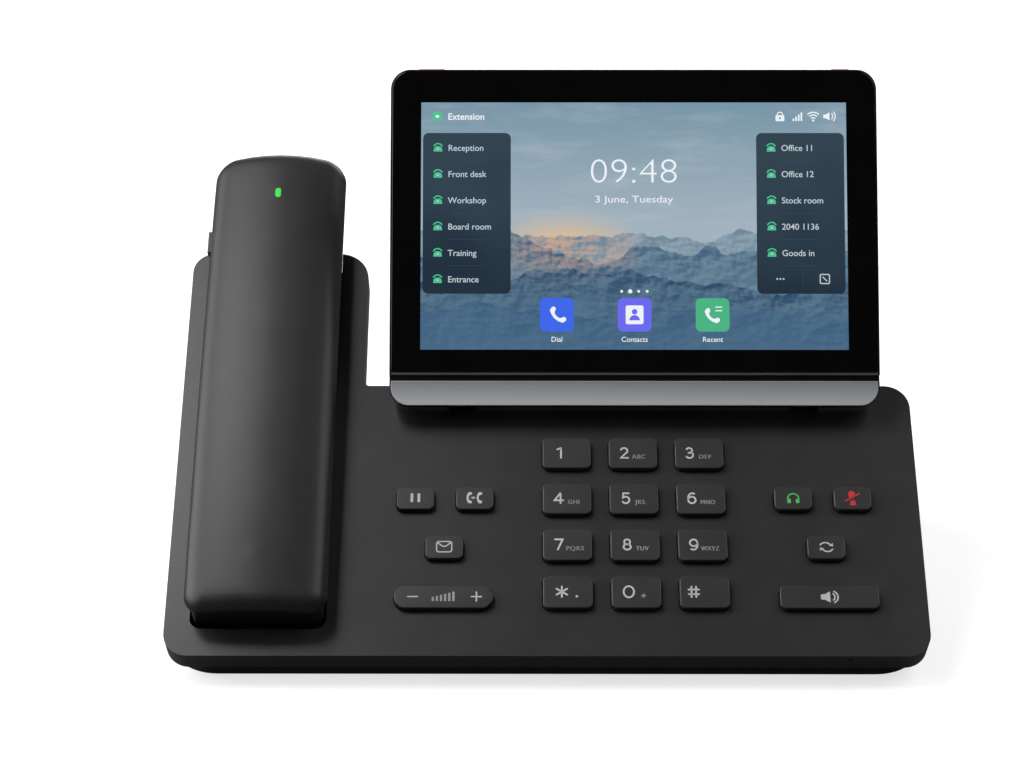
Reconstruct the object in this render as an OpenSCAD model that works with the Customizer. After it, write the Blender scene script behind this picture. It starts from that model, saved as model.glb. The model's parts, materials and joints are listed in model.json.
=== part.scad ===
// Desk IP phone: a sloped base with a key field and a cradle tongue, a cordless
// handset and a tilting touch screen.  Millimetres, +X right, +Y back, +Z up,
// origin on the desk at the middle of the whole phone.
// Most parts are drawn in the panel's own frame: x across, y up the slope and
// z out of the panel; on_panel(), on_screen() and on_handset() set them in place.

/* [Base] */
// Width of the base
base_w = 263.6; // [250:1:290]
// Length of the key panel up its slope
panel_l = 107.2; // [100:1:130]
// Angle of the panel to the desk
slope = 33; // [25:1:40]
// Height of the panel's front edge above the desk
panel_rise = 13; // [11:0.5:20]
// Depth of the top cover's skirt, square to the panel
skirt_h = 9.5; // [8:0.5:14]
// Wall of the two base covers
wall = 2; // [1.6:0.1:3]
// Radius of the two front corners of the panel
front_r = 8.5; // [6:0.5:14]
// Radius of the rear right corner of the panel
rear_r = 9; // [6:0.5:14]
// How far the bottom cover stands in from the top cover's edge
plinth_inset = 2; // [1.5:0.5:6]
// Plan radius of the bottom cover's corners
plinth_r = 16; // [12:1:24]
// Lean of the rear wall from the desk
rear_lean = 60; // [50:1:75]
// Radius of a rubber foot
foot_r = 7.5; // [5:0.5:10]
// How far the feet stand below the bottom cover
foot_h = 1; // [0.8:0.1:2]

/* [Cradle] */
// Width of the cradle tongue
tongue_w = 65.8; // [62:0.5:75]
// Length of the tongue up the slope, from the panel's front edge
tongue_l = 164.8; // [155:1:175]
// Radius of the tongue's outer rear corner
tongue_r = 8; // [5:0.5:12]
// Radius of the tongue's inner shoulder
shoulder_r = 11; // [6:0.5:14]
// Gap between the handset and each side of its wells
well_gap = 0.8; // [0.5:0.1:1.5]
// Depth of the wells below the panel
well_d = 9.5; // [8:0.5:12]
// Length of the speaker grille between the wells
grille_l = 34; // [28:1:36]
// Width of one grille slot
grille_slot = 1.6; // [1:0.1:2.2]

/* [Keys] */
// Width of a dial key
dial_w = 17.2; // [14:0.2:19]
// Length of a dial key up the slope
dial_l = 12.2; // [9:0.2:13]
// Spacing of the dial keys across
dial_dx = 23.65; // [22:0.1:25]
// Spacing of the dial rows
dial_dv = 18.28; // [17:0.1:19]
// Width of a small function key
func_w = 13.2; // [10:0.2:15]
// Length of a small function key up the slope
func_l = 9; // [7:0.2:10]
// Length of the volume rocker and of the speaker key across
bar_w = 34.2; // [28:0.2:36]
// Length of those two keys up the slope
bar_l = 8.6; // [7:0.2:10]
// Height of the key tops above the panel
key_proud = 2.3; // [1.5:0.1:3]
// Travel of a key
key_travel = 1; // [0.6:0.1:1.2]
// Gap round a key in its opening
key_gap = 0.35; // [0.3:0.05:0.6]
// Radius of the soft edge round a key's top
key_edge = 0.4; // [0.2:0.1:0.8]

/* [Screen] */
// Width of the screen unit
screen_w = 175.8; // [170:0.5:182]
// Height of the screen unit along its face
screen_h = 122.3; // [118:0.5:128]
// Thickness of the screen unit at its edge
screen_t = 9; // [8:0.5:12]
// Angle of the screen to the panel at rest
screen_tilt = 25.2; // [10:0.2:40]
// Width of the black border on each side of the picture
bezel_w = 11.1; // [9:0.1:14]
// Width of the black border above the picture
bezel_top = 12.2; // [10:0.1:15]
// Height of the lower edge of the picture above the foot of the screen
view_foot = 20.1; // [18:0.1:24]
// Height of the bright trim along the foot of the screen
chin_h = 8.9; // [7:0.1:12]
// Height of the dark groove above the trim
groove_h = 2.1; // [1:0.1:3]
// Depth of the electronics housing behind the screen
housing_t = 12; // [8:0.5:15]
// Radius of a hinge pin
pin_r = 1.6; // [1.2:0.1:2]
// Running clearance of a hinge pin in its bracket
pin_clear = 0.05; // [0.02:0.01:0.1]

/* [Handset] */
// Length of the handset
hand_l = 189.5; // [175:0.5:195]
// Width of the handset
hand_w = 49.2; // [44:0.2:52]
// Height of the handset's crown above the panel
crown_n = 20; // [18:0.5:24]
// Fall of the crown towards each side
crown_side = 3.6; // [2:0.2:5]
// Fall of the crown towards each end
crown_end = 2.5; // [1:0.2:4]
// Height of the seam between the two shells above the panel
seam_n = 9.7; // [8.5:0.1:11]
// Wall of the handset's shells
hand_wall = 1.8; // [1.4:0.1:2.2]
// Radius of the handset's two upper corners
hand_top_r = 8; // [6:0.5:14]
// How far the middle of the handset's upper end stands past its corners
hand_arch = 2.4; // [1:0.2:4]
// Radius of the handset's two lower corners
hand_low_r = 7; // [5:0.5:12]

/* [Sockets] */
// Width of a network socket
net_w = 16; // [15:0.1:17]
// Height of a network socket
net_h = 13.5; // [13:0.1:14.5]
// Width of a handset or headset socket
cord_w = 11.2; // [10.5:0.1:12]
// Height of a handset or headset socket
cord_h = 9.6; // [9:0.1:11]

/* [Hidden] */
$fn = 48;
e = 0.5; // how far a cut runs past the face it opens

// --- places ---------------------------------------------------------------
panel_top = wall;                       // thickness of the panel
hand_u = -base_w / 2 + tongue_w / 2 - 0.7; // the handset's centre line, near mid-tongue
hand_v = 10.5;                          // the handset's lower end up the slope
hinge_v = 99.87;                        // the hinge axis up the slope ...
hinge_n = 7.26;                         // ... and above the panel
hinge_h = 4.9;                          // the axis above the screen's lower edge
hinge_d = 5;                            // the axis behind the screen's face
hinge_x = screen_w / 2 - 25.9;           // each hinge from the screen's centre line
left_x = -base_w / 2 + tongue_w + 30.3;  // middle of the keys left of the dial
right_x = base_w / 2 - 34.05;           // middle of the keys right of the dial
dial_x = (left_x + right_x) / 2;        // middle of the dial
screen_x = dial_x + 0.7;                // the screen's centre line
hand_floor = -well_d + 0.2;             // underside of the handset in its wells
hand_grip_n = 2;                        // underside of the grip above the panel

// The handset's lower back edge and its upper inner edge are the phone's
// front and rear ends; the origin lies half way between them.
front_end = hand_v * cos(slope) - (crown_n - crown_end) * sin(slope);
rear_end = (hand_v + hand_l - 6) * cos(slope) - hand_floor * sin(slope);
centre_y = (front_end + rear_end) / 2;

module on_panel() translate([0, -centre_y, panel_rise]) rotate([slope, 0, 0]) children();
module on_handset() on_panel() translate([hand_u, hand_v, 0]) children();
module on_screen() on_panel() translate([screen_x, hinge_v, hinge_n])
    rotate([screen_tilt, 0, 0]) translate([0, -hinge_h, hinge_d]) children();
// Base parts that stand upright: x across, y back from the panel's front edge
// and z up from the desk
module on_desk() translate([0, -centre_y, 0]) children();
// A side profile drawn as [back, up], pulled across the middle
module across(width) rotate([90, 0, 90]) linear_extrude(width, center = true) children();

// --- shared shapes --------------------------------------------------------
// What a rounded corner takes away; sx and sy point into the rectangle
module corner_cut(x, y, sx, sy, r) translate([x, y]) difference() {
    translate([sx > 0 ? -1 : -r, sy > 0 ? -1 : -r]) square(r + 1);
    translate([sx * r, sy * r]) circle(r);
}

// Rectangle from p to q with radii [front left, front right, rear right, rear left]
module quad(p, q, r) difference() {
    translate(p) square(q - p);
    if (r[0] > 0) corner_cut(p[0], p[1], 1, 1, r[0]);
    if (r[1] > 0) corner_cut(q[0], p[1], -1, 1, r[1]);
    if (r[2] > 0) corner_cut(q[0], q[1], -1, -1, r[2]);
    if (r[3] > 0) corner_cut(p[0], q[1], 1, -1, r[3]);
}

module rounded(w, l, r) quad([-w / 2, -l / 2], [w / 2, l / 2], [r, r, r, r]);

module block(p, q) translate(p) cube(q - p);

module hole(r, z0, z1) translate([0, 0, z0]) cylinder(r = r, h = z1 - z0);

// --- base covers ----------------------------------------------------------
tongue_x = -base_w / 2 + tongue_w;      // right side of the tongue
inner_fillet = 2;                       // between the tongue and the panel

// Outline of the panel with its tongue, drawn in by d
module base_outline(d = 0) {
    quad([-base_w / 2 + d, d], [base_w / 2 - d, panel_l - d],
         [front_r - d, front_r - d, rear_r - d, 0]);
    quad([-base_w / 2 + d, panel_l / 2], [tongue_x - d, tongue_l - d],
         [0, 0, shoulder_r - d, tongue_r - d]);
    translate([tongue_x - d, panel_l - d]) difference() {
        translate([-1, -1]) square(inner_fillet + d + 1);
        translate([inner_fillet + d, inner_fillet + d]) circle(inner_fillet + d);
    }
}

// The two wells that take the handset's mouth and ear ends
well_w = hand_w - 2 * hand_wall + 2 * well_gap;
mouth_v = [hand_v - 0.4, 56];
ear_v = [hand_v + 117, tongue_l];
well_r = 4;
module mouth_well(grow = 0) translate([hand_u, 0])
    quad([-well_w / 2 - grow, mouth_v[0] - grow], [well_w / 2 + grow, mouth_v[1] + grow],
         [well_r, well_r, well_r, well_r] + grow * [1, 1, 1, 1]);
module ear_well(grow = 0, rear = 0) translate([hand_u, 0])
    quad([-well_w / 2 - grow, ear_v[0] - grow], [well_w / 2 + grow, ear_v[1] + rear],
         [well_r + grow, well_r + grow, 0, 0]);

// Key places: [across, up the slope, width, length, corner radius]
dial_v = 78.03;
func_v = 59.9;
single_v = 40.55;
bar_v = 21.3;
func_dx = 10.5;
key_r = 2.2;
function dial_place(i) = [dial_x + (i % 3 - 1) * dial_dx, dial_v - floor(i / 3) * dial_dv,
                          dial_w, dial_l, key_r];
function func_place(x, v) = [x, v, func_w, func_l, key_r];
hold_place = func_place(left_x - func_dx, func_v);
transfer_place = func_place(left_x + func_dx, func_v);
message_place = func_place(left_x, single_v);
headset_place = func_place(right_x - func_dx, func_v);
mute_place = func_place(right_x + func_dx, func_v);
redial_place = func_place(right_x, single_v);
speaker_place = [right_x, bar_v, bar_w, bar_l, key_r];
rocker_place = [left_x, bar_v, bar_w, bar_l, bar_l / 2];
places = concat([for (i = [0 : 11]) dial_place(i)],
    [hold_place, transfer_place, message_place, headset_place, mute_place,
     redial_place, speaker_place, rocker_place]);

module key_outline(k, grow = 0)
    translate([k[0], k[1]]) rounded(k[2] + 2 * grow, k[3] + 2 * grow, k[4] + grow);

// Board, membrane and the posts that carry them under the panel
flange_t = 1;
flange_gap = 0.1;
stem_r = 1.6;
collar_r = 3.2;
collar_gap = 0.6;
stem_gap = 0.6;                         // between a pressed stem and the board
board_t = 1.6;
sheet_t = 1;
board_n = -panel_top - 5.6;             // top of the keypad board
board_box = [[left_x - 28.3, 9], [right_x + 19.25, 86.5]];
post_r = 2.6;
post_x = [left_x - 25.3, dial_x - 39.5, dial_x + 40, right_x + 16.2];
post_v = [12.2, 83];

// Screws through the bottom cover into bosses under the panel
screw_x = [tongue_x - 4, base_w / 2 - 10.3];
screw_y = [26, 80];
screw_at = [for (x = screw_x, y = screw_y) [x, y]];
screw_r = 1.5;
boss_r = 3.6;
boss_z = 8;                             // where the two covers' bosses meet
head_r = 2.9;
head_z = 3.4;                           // underside of the screw head's seat

// Hinge brackets
bracket_w = 9;
bracket_r = 3.4;
slot_gap = 0.2;
bracket_foot_l = 14;
hinges_u = [screen_x - hinge_x, screen_x + hinge_x];

grille_w = 38;
grille_t = 1.2;
grille_v = mouth_v[1] + wall + 1 + grille_l / 2; // middle of the grille

module base_top_cover() color("#2e2f31") difference() {
    union() {
        on_panel() {
            difference() {
                translate([0, 0, -skirt_h]) linear_extrude(skirt_h) base_outline();
                translate([0, 0, -skirt_h - e]) linear_extrude(skirt_h + e - panel_top)
                    base_outline(wall);
            }
            for (x = post_x, v = post_v) translate([x, v, 0]) hole(post_r, board_n, -panel_top / 2);
            // the wells' walls and floors
            translate([0, 0, -well_d - wall]) linear_extrude(well_d + wall / 2) {
                mouth_well(wall);
                ear_well(wall, -wall);
            }
        }
        // screw bosses, upright, ending in the panel
        intersection() {
            on_desk() for (s = screw_at) translate([s[0], s[1], 0]) hole(boss_r, boss_z, base_w);
            on_panel() block([-base_w, 0, -base_w], [base_w, tongue_l, -panel_top / 2]);
        }
    }
    on_panel() {
        for (k = places) translate([0, 0, -panel_top - e]) linear_extrude(panel_top + 2 * e)
            key_outline(k, key_gap);
        translate([0, 0, -well_d]) linear_extrude(well_d + e) {
            mouth_well();
            ear_well(0, e);
        }
        // seat of the speaker grille, and the opening under it
        translate([hand_u, grille_v, -grille_t]) linear_extrude(grille_t + e)
            rounded(grille_w, grille_l, 4);
        translate([hand_u, grille_v, -panel_top - e]) linear_extrude(panel_top + 2 * e)
            rounded(grille_w - 4, grille_l - 4, 2);
        for (u = hinges_u)
            block([u - bracket_w / 2 - slot_gap, hinge_v - bracket_r - slot_gap, -panel_top - e],
                  [u + bracket_w / 2 + slot_gap, hinge_v + bracket_r + slot_gap, e]);
        // room for the charging contacts in the mouth well's floor
        for (i = [-1 : 1]) translate([hand_u + i * contact_dx, contact_v, -well_d - wall - e])
            linear_extrude(wall + 2 * e) rounded(contact_w, contact_l, 0.6);
        // microphone hole through the front skirt
        translate([104, -e, -2.6]) rotate([-90, 0, 0]) cylinder(r = 0.6, h = wall + 2 * e);
    }
    on_desk() for (s = screw_at) translate([s[0], s[1], 0]) hole(screw_r - 0.25, boss_z - e, boss_z + 8);
}

// Bottom cover: an upright tub under the panel, closed by a leaning rear wall,
// with a tray under the tongue and a bay for the sockets at the back
tub_z = foot_h;                         // underside of the tub above the desk
tub_x = base_w / 2 - plinth_inset;
function seam_z(y) = panel_rise + (y - skirt_h * sin(slope)) * tan(slope) - skirt_h * cos(slope);
tub_rear_r = 10;
tub_front = skirt_h * sin(slope) + plinth_inset;
tub_top_y = (panel_l - plinth_inset) * cos(slope) + skirt_h * sin(slope);
tub_rear = tub_top_y + (seam_z(tub_top_y) - tub_z) / tan(rear_lean);
bay_y = 104;                            // inner face of the bay's upright wall
bay_x = [dial_x - 89, dial_x + 49];
bay_top = 27;
plate_seat = 1;                         // depth of the grooves that hold the socket plate
plate_gap = 0.1;

// Side profile of the tub, drawn in by d all round but at its open top
module tub_profile(d = 0, over = 0) {
    lean_d = d / sin(rear_lean);
    polygon([[tub_front + d, tub_z + d],
             [tub_rear - lean_d - d / tan(rear_lean), tub_z + d],
             [tub_top_y - lean_d - over / tan(rear_lean), seam_z(tub_top_y) + over],
             [tub_front + d, seam_z(tub_front + d) + over]]);
}

module tub_body(d = 0, over = 0) intersection() {
    across(base_w) tub_profile(d, over);
    linear_extrude(base_w) quad([-tub_x + d, tub_front + d], [tub_x - d, tub_rear],
        [plinth_r - d, plinth_r - d, tub_rear_r - d, tub_rear_r - d]);
    // never above the seam, however high the profile runs
    translate([0, 0, panel_rise]) rotate([slope, 0, 0])
        block([-base_w, -base_w, -base_w], [base_w, tongue_l, -skirt_h + over]);
}

module bay_block(grow = 0)
    block([bay_x[0] - grow, bay_y + wall - grow, -e], [bay_x[1] + grow, tub_rear + e, bay_top + grow]);

module plate_block(d = 0)
    block([bay_x[0] - plate_seat + d, bay_y + d, d > 0 ? tub_z : -e],
          [bay_x[1] + plate_seat - d, bay_y + wall + (d > 0 ? 0 : e), bay_top + plate_seat - d]);

// Places of the sockets across the bay: [across, width, height]
socket_x = [36, 16, -7, -26, -43, -65] + dial_x * [1, 1, 1, 1, 1, 1];
socket_w = [9.4, net_w, net_w, cord_w, cord_w, 14.4];
socket_h = [11, net_h, net_h, cord_h, cord_h, 7];
socket_z = tub_z + wall + 3 + board_t;  // underside of every socket
socket_gap = 0.15;

tray_h = 4;                             // depth of the tray under the tongue
lip_gap = 0.2;

module base_bottom_cover() color("#1c1d1f") difference() {
    union() {
        on_desk() difference() {
            union() {
                difference() {
                    tub_body();
                    tub_body(wall, e);
                }
                intersection() {
                    bay_block(wall);
                    tub_body();
                }
            }
            bay_block();
            plate_block();
        }
        // posts under the main board
        on_desk() for (p = board_post) translate([p[0], p[1], 0])
            hole(3, tub_z + wall / 2, socket_z - board_t);
        on_desk() for (s = screw_at) translate([s[0], s[1], 0])
            hole(boss_r + 0.6, tub_z + wall / 2, boss_z);
        // tray under the tongue, with a low rim inside the skirt
        on_panel() difference() {
            translate([0, 0, -skirt_h - tray_h]) linear_extrude(tray_h) intersection() {
                base_outline(plinth_inset);
                translate([-base_w, panel_l - 12]) square([2 * base_w, 100]);
            }
            translate([0, 0, -skirt_h - tray_h + wall]) linear_extrude(tray_h) intersection() {
                base_outline(plinth_inset + wall);
                translate([-base_w, panel_l - 12 - e]) square([2 * base_w, 100]);
            }
            // keeps the tray's front end behind the tub's rear wall
            translate([0, -1, 0]) block([tongue_x - plinth_inset, panel_l - 13, -skirt_h - tray_h - e],
                                       [base_w, panel_l + 5, e]);
        }
    }
    on_desk() {
        for (s = screw_at) translate([s[0], s[1], 0]) {
            hole(screw_r + 0.2, -e, boss_z + e);
            hole(head_r + 0.3, -e, head_z);
        }
        for (x = [-foot_x, foot_x], y = [foot_front, foot_rear]) translate([x, y, 0])
            hole(foot_r + 0.1, -e, tub_z + foot_seat);
    }
    // room for the wells of the top cover
    on_panel() translate([0, 0, -well_d - wall - lip_gap]) linear_extrude(well_d) {
        mouth_well(wall + lip_gap);
        ear_well(wall + lip_gap, e);
    }
}

// Plate that closes the bay and holds the sockets
module socket_plate() color("#1c1d1f") on_desk() difference() {
    plate_block(plate_gap);
    for (i = [0 : 5]) translate([socket_x[i], bay_y - e, socket_z - socket_gap])
        block([-socket_w[i] / 2 - socket_gap, 0, 0],
              [socket_w[i] / 2 + socket_gap, wall + 2 * e, socket_h[i] + 2 * socket_gap]);
}

foot_x = base_w / 2 - 31.8;
foot_front = 24;
foot_rear = bay_y + 10;
foot_seat = 0.8;
foot_edge = 0.3;
module base_feet() color("#0c0c0d") on_desk()
    for (x = [-foot_x, foot_x], y = [foot_front, foot_rear]) translate([x, y, 0]) {
        hole(foot_r - 2 * foot_edge, 0, foot_edge);
        hole(foot_r, foot_edge, tub_z + foot_seat);
    }

module base_screws() color("#9a9ca0") on_desk() for (s = screw_at) translate([s[0], s[1], 0])
    difference() {
        union() {
            hole(head_r, head_z - 1.8, head_z);
            hole(screw_r - 0.3, head_z, boss_z + 6);
        }
        hole(1, head_z - 2, head_z - 0.9);
    }

// --- base fittings ----------------------------------------------------------
module speaker_grille() color("#242527") on_panel() translate([hand_u, grille_v, -grille_t])
    linear_extrude(grille_t) difference() {
        rounded(grille_w - 0.2, grille_l - 0.2, 3.9);
        pitch = 2 * grille_slot + 0.4;
        rows = floor((grille_l - 8) / pitch);
        for (i = [0 : rows - 1]) translate([0, (i - (rows - 1) / 2) * pitch])
            rounded(grille_w - 8, grille_slot, grille_slot / 2 - 0.01);
    }

module loudspeaker() color("#3a3b3e") on_panel() translate([hand_u, grille_v, 0]) {
    translate([0, 0, -panel_top - 2]) linear_extrude(2) difference() {
        rounded(grille_w + 2, grille_l, 3);
        rounded(grille_w - 8, grille_l - 6, 8);
    }
    translate([0, 0, -panel_top - 7]) linear_extrude(5) rounded(grille_w - 4, grille_l - 2, 4);
    hole(12, -panel_top - 13, -panel_top - 7);
}

module keypad_board() color("#1f5a3a") on_panel() translate([0, 0, board_n - board_t])
    linear_extrude(board_t) quad(board_box[0], board_box[1], [1, 1, 1, 1]);

module keypad_membrane() color("#c9cbcc") on_panel() difference() {
    union() {
        translate([0, 0, board_n]) linear_extrude(sheet_t)
            quad(board_box[0] + [8, 7], board_box[1] - [1.5, 0.6], [1, 1, 1, 1]);
        for (k = places) translate([k[0], k[1], 0]) hole(collar_r, board_n, board_n + sheet_t + 1.2);
    }
    for (k = places) translate([k[0], k[1], 0]) hole(stem_r + collar_gap, board_n - e, board_n + 4);
    for (x = post_x, v = post_v) translate([x, v, 0]) hole(post_r + 0.4, board_n - e, board_n + 4);
}

main_l = 45.7;                          // length of the main board
main_box = [[bay_x[0] + 2, bay_y - 0.3 - main_l], [bay_x[1] - 1, bay_y - 0.3]];
main_edge = 5;                          // its posts from its edges
board_post = [for (x = [main_box[0][0] + main_edge, main_box[1][0] - main_edge],
    y = [main_box[0][1] + main_edge, main_box[1][1] - main_edge]) [x, y]];
module main_board() color("#1f5a3a") on_desk() translate([0, 0, socket_z - board_t])
    linear_extrude(board_t) quad(main_box[0], main_box[1], [1, 1, 1, 1]);

// Shell of a socket: a box whose mouth is flush with the bay's wall
module socket_box(i, depth) on_desk()
    translate([socket_x[i] - socket_w[i] / 2, bay_y + wall - depth, socket_z])
        cube([socket_w[i], depth, socket_h[i]]);

module net_jack(i) color("#8e9093") difference() {
    socket_box(i, 21);
    on_desk() translate([socket_x[i], bay_y + wall, socket_z]) {
        block([-5.95, -12, 3], [5.95, e, 11]);
        block([-3.1, -12, 1], [3.1, e, 3 + e]);
    }
}

module cord_jack(i) color("#1b1b1c") difference() {
    socket_box(i, 15);
    on_desk() translate([socket_x[i], bay_y + wall, socket_z]) {
        block([-3.95, -10, 2.2], [3.95, e, 8.4]);
        block([-2, -10, 0.9], [2, e, 2.2 + e]);
    }
}

module usb_port() color("#a9abad") difference() {
    socket_box(5, 14);
    on_desk() translate([socket_x[5], bay_y + wall, socket_z]) difference() {
        block([-6.25, -11, 0.9], [6.25, e, 6.1]);
        block([-5.6, -11 - e, 4.4], [5.6, -1, 7]);
    }
}

module power_jack() color("#1b1b1c") difference() {
    socket_box(0, 14);
    on_desk() translate([socket_x[0], bay_y + wall, socket_z + 5.5]) rotate([90, 0, 0]) difference() {
        hole(3.1, -e, 10);
        hole(1, -e, 10 + e);
    }
}

module hinge_bracket(u) color("#4a4b4e") on_panel() difference() {
    union() {
        block([u - bracket_w / 2, hinge_v - bracket_r, -panel_top - 2.5],
              [u + bracket_w / 2, hinge_v + bracket_r, hinge_n]);
        translate([u - bracket_w / 2, hinge_v, hinge_n]) rotate([0, 90, 0])
            cylinder(r = bracket_r, h = bracket_w);
        block([u - bracket_w, hinge_v - bracket_foot_l + bracket_r, -panel_top - 2.5],
              [u + bracket_w, hinge_v + bracket_r, -panel_top]);
    }
    translate([u - bracket_w / 2 - e, hinge_v, hinge_n]) rotate([0, 90, 0])
        cylinder(r = pin_r + pin_clear, h = bracket_w + 2 * e);
}

contact_w = 2.4;
contact_l = 5;
contact_dx = 6;
contact_v = 22;
module cradle_contacts() color("#c9a54a") on_panel() for (i = [-1 : 1])
    translate([hand_u + i * contact_dx, contact_v, -well_d - wall])
        linear_extrude(wall + 0.05) rounded(contact_w - 0.2, contact_l - 0.2, 0.5);

// --- keys -------------------------------------------------------------------
// Bar with its two upper edges rounded, half a width each side of its middle
edge_slack = 0.02;                      // keeps its sides clear of the cap's
module edge_bar(half, z0) rotate([90, 0, 90]) linear_extrude(2 * bar_w, center = true)
    quad([-half - edge_slack, z0 - e], [half + edge_slack, key_proud], [0, 0, key_edge, key_edge]);

// Cap from height z0 up, with a rounded edge all round its top
module soft_cap(k, z0) translate([k[0], k[1], 0]) {
    corner_reach = (k[2] / 2 + k[3] / 2 - 2 * k[4]) / sqrt(2) + k[4];
    intersection() {
        translate([0, 0, z0]) linear_extrude(key_proud - z0 + e) rounded(k[2], k[3], k[4]);
        edge_bar(k[3] / 2, z0);
        rotate([0, 0, 90]) edge_bar(k[2] / 2, z0);
        rotate([0, 0, 45]) edge_bar(corner_reach, z0);
        rotate([0, 0, -45]) edge_bar(corner_reach, z0);
    }
}

// Key: cap, a flange that stops it under the panel, and a stem
module key_at(k) {
    soft_cap(k, -panel_top - flange_gap - e);
    translate([0, 0, -panel_top - flange_gap - flange_t]) linear_extrude(flange_t)
        key_outline(k, key_gap + 0.7);
    translate([k[0], k[1], 0]) hole(stem_r, board_n + key_travel + stem_gap, -panel_top - flange_gap - e);
}
module key(k) color("#333436") on_panel() key_at(k);

// The rocker tilts on a round barrel that bears on the underside of the panel
barrel_r = 1;
barrel_gap = 0.15;
rocker_n = -panel_top - barrel_gap - barrel_r; // its tilt axis
module volume_rocker() color("#333436") on_panel() {
    soft_cap(rocker_place, rocker_n);
    translate([rocker_place[0], rocker_place[1], 0]) {
        translate([0, bar_l / 2 + key_gap + 1, rocker_n]) rotate([90, 0, 0])
            cylinder(r = barrel_r, h = bar_l + 2 * key_gap + 2);
        hole(stem_r, board_n + sheet_t + 0.3, rocker_n + e);
    }
}

// --- screen -----------------------------------------------------------------
top_r = 7.2;
low_r = 6.4;
rim = 0.6;
glass_h0 = chin_h + groove_h + 0.9;     // foot of the glass: trim, groove and a thin strip
glass_t = 1.1;
chin_t = 1;
frame_t = hinge_d;                      // the frame and back cover part at the hinge axis
view_w = screen_w - 2 * bezel_w;
view_h = screen_h - bezel_top - view_foot;
panel_t = 3;
notch_gap = 0.5;
pin_l = bracket_w + 12;
housing_w = screen_w - 43.8;
housing_h = [24, screen_h - 18.3];

module screen_outline(d = 0) quad([-screen_w / 2 + d, d], [screen_w / 2 - d, screen_h - d],
    [low_r - d, low_r - d, top_r - d, top_r - d]);

module hinge_notches() for (x = [-hinge_x, hinge_x])
    block([x - bracket_w / 2 - notch_gap, -e, -screen_t - e],
          [x + bracket_w / 2 + notch_gap, hinge_h + bracket_r + notch_gap, -chin_t - 0.1]);

module pin_bores() for (x = [-hinge_x, hinge_x]) translate([x - pin_l / 2, hinge_h, -hinge_d])
    rotate([0, 90, 0]) cylinder(r = pin_r, h = pin_l);

module screen_frame() color("#161617") on_screen() difference() {
    translate([0, 0, -frame_t]) linear_extrude(frame_t - 0.25) screen_outline();
    // seat of the trim
    translate([0, 0, -chin_t]) linear_extrude(chin_t + e) translate([-screen_w / 2 - e, -e])
        square([screen_w + 2 * e, chin_h + e]);
    // dark groove
    block([-screen_w / 2 - e, chin_h - 0.01, -1.6], [screen_w / 2 + e, chin_h + groove_h, e]);
    // seat of the glass, then the pocket of the display
    translate([0, 0, -glass_t]) linear_extrude(glass_t + e)
        quad([-screen_w / 2 + rim, glass_h0], [screen_w / 2 - rim, screen_h - rim],
             [1, 1, top_r - rim, top_r - rim]);
    block([-view_w / 2 - 6, view_foot - 6, -frame_t - e], [view_w / 2 + 6, view_foot + view_h + 5, e]);
    hinge_notches();
    pin_bores();
}

module chin_trim() color("#8d8f93") on_screen() translate([0, 0, -chin_t]) linear_extrude(chin_t)
    quad([-screen_w / 2 + rim, 0], [screen_w / 2 - rim, chin_h - 0.05], [low_r, low_r, 0.4, 0.4]);

module screen_glass() color("#050506") on_screen() translate([0, 0, -glass_t]) linear_extrude(glass_t)
    quad([-screen_w / 2 + rim + 0.05, glass_h0 + 0.05], [screen_w / 2 - rim - 0.05, screen_h - rim - 0.05],
         [1, 1, top_r - rim, top_r - rim]);

module display_panel() color("#26323e") on_screen()
    block([-view_w / 2 - 5.8, view_foot - 5.8, -glass_t - panel_t],
          [view_w / 2 + 5.8, view_foot + view_h + 4.8, -glass_t]);

module screen_board() color("#1f5a3a") on_screen()
    translate([0, 0, -screen_t - 1]) linear_extrude(board_t)
        quad([-housing_w / 2 + 8, housing_h[0] + 6], [housing_w / 2 - 8, housing_h[1] - 6], [2, 2, 2, 2]);

module screen_back_cover() color("#19191b") on_screen() difference() {
    union() {
        translate([0, 0, -screen_t + 1.2]) linear_extrude(screen_t - frame_t - 1.2) screen_outline();
        translate([0, 0, -screen_t]) linear_extrude(1.3) screen_outline(1);
        translate([0, 0, -screen_t - housing_t + 3]) linear_extrude(housing_t) translate([0, housing_h[0]])
            quad([-housing_w / 2, 0], [housing_w / 2, housing_h[1] - housing_h[0]], [8, 8, 8, 8]);
        translate([0, 0, -screen_t - housing_t]) linear_extrude(3.1) translate([0, housing_h[0]])
            quad([-housing_w / 2 + 3, 3], [housing_w / 2 - 3, housing_h[1] - housing_h[0] - 3], [6, 6, 6, 6]);
    }
    // inside of the housing, left open towards the frame
    translate([0, 0, -screen_t - housing_t + 2]) linear_extrude(housing_t + screen_t)
        quad([-housing_w / 2 + 5, housing_h[0] + 5], [housing_w / 2 - 5, housing_h[1] - 5], [4, 4, 4, 4]);
    // row of air slots near the top of the housing
    for (i = [-9 : 9]) translate([i * 5, housing_h[1] - 16, -screen_t - housing_t - e])
        linear_extrude(2 + 2 * e) rounded(2, 9, 0.99);
    hinge_notches();
    pin_bores();
    // seat of the camera port's cover
    block([-camera_w / 2 - 0.05, screen_h - camera_d, -screen_t - e],
          [camera_w / 2 + 0.05, screen_h + e, -frame_t - 0.4]);
}

camera_w = 23.2;
camera_d = 8;
module camera_port_cover() color("#0f0f10") on_screen()
    block([-camera_w / 2, screen_h - camera_d + 0.05, -screen_t],
          [camera_w / 2, screen_h + 0.15, -frame_t - 0.45]);

light_proud = 0.6;
light_w = [9.2, 6.4];
light_x = [-screen_w / 2 + 14.8, screen_w / 2 - 12.8];
module indicator(i) color("#d8232a") on_screen()
    block([light_x[i] - light_w[i] / 2, screen_h + 0.01, -frame_t + 0.4],
          [light_x[i] + light_w[i] / 2, screen_h + light_proud, -2]);

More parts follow.
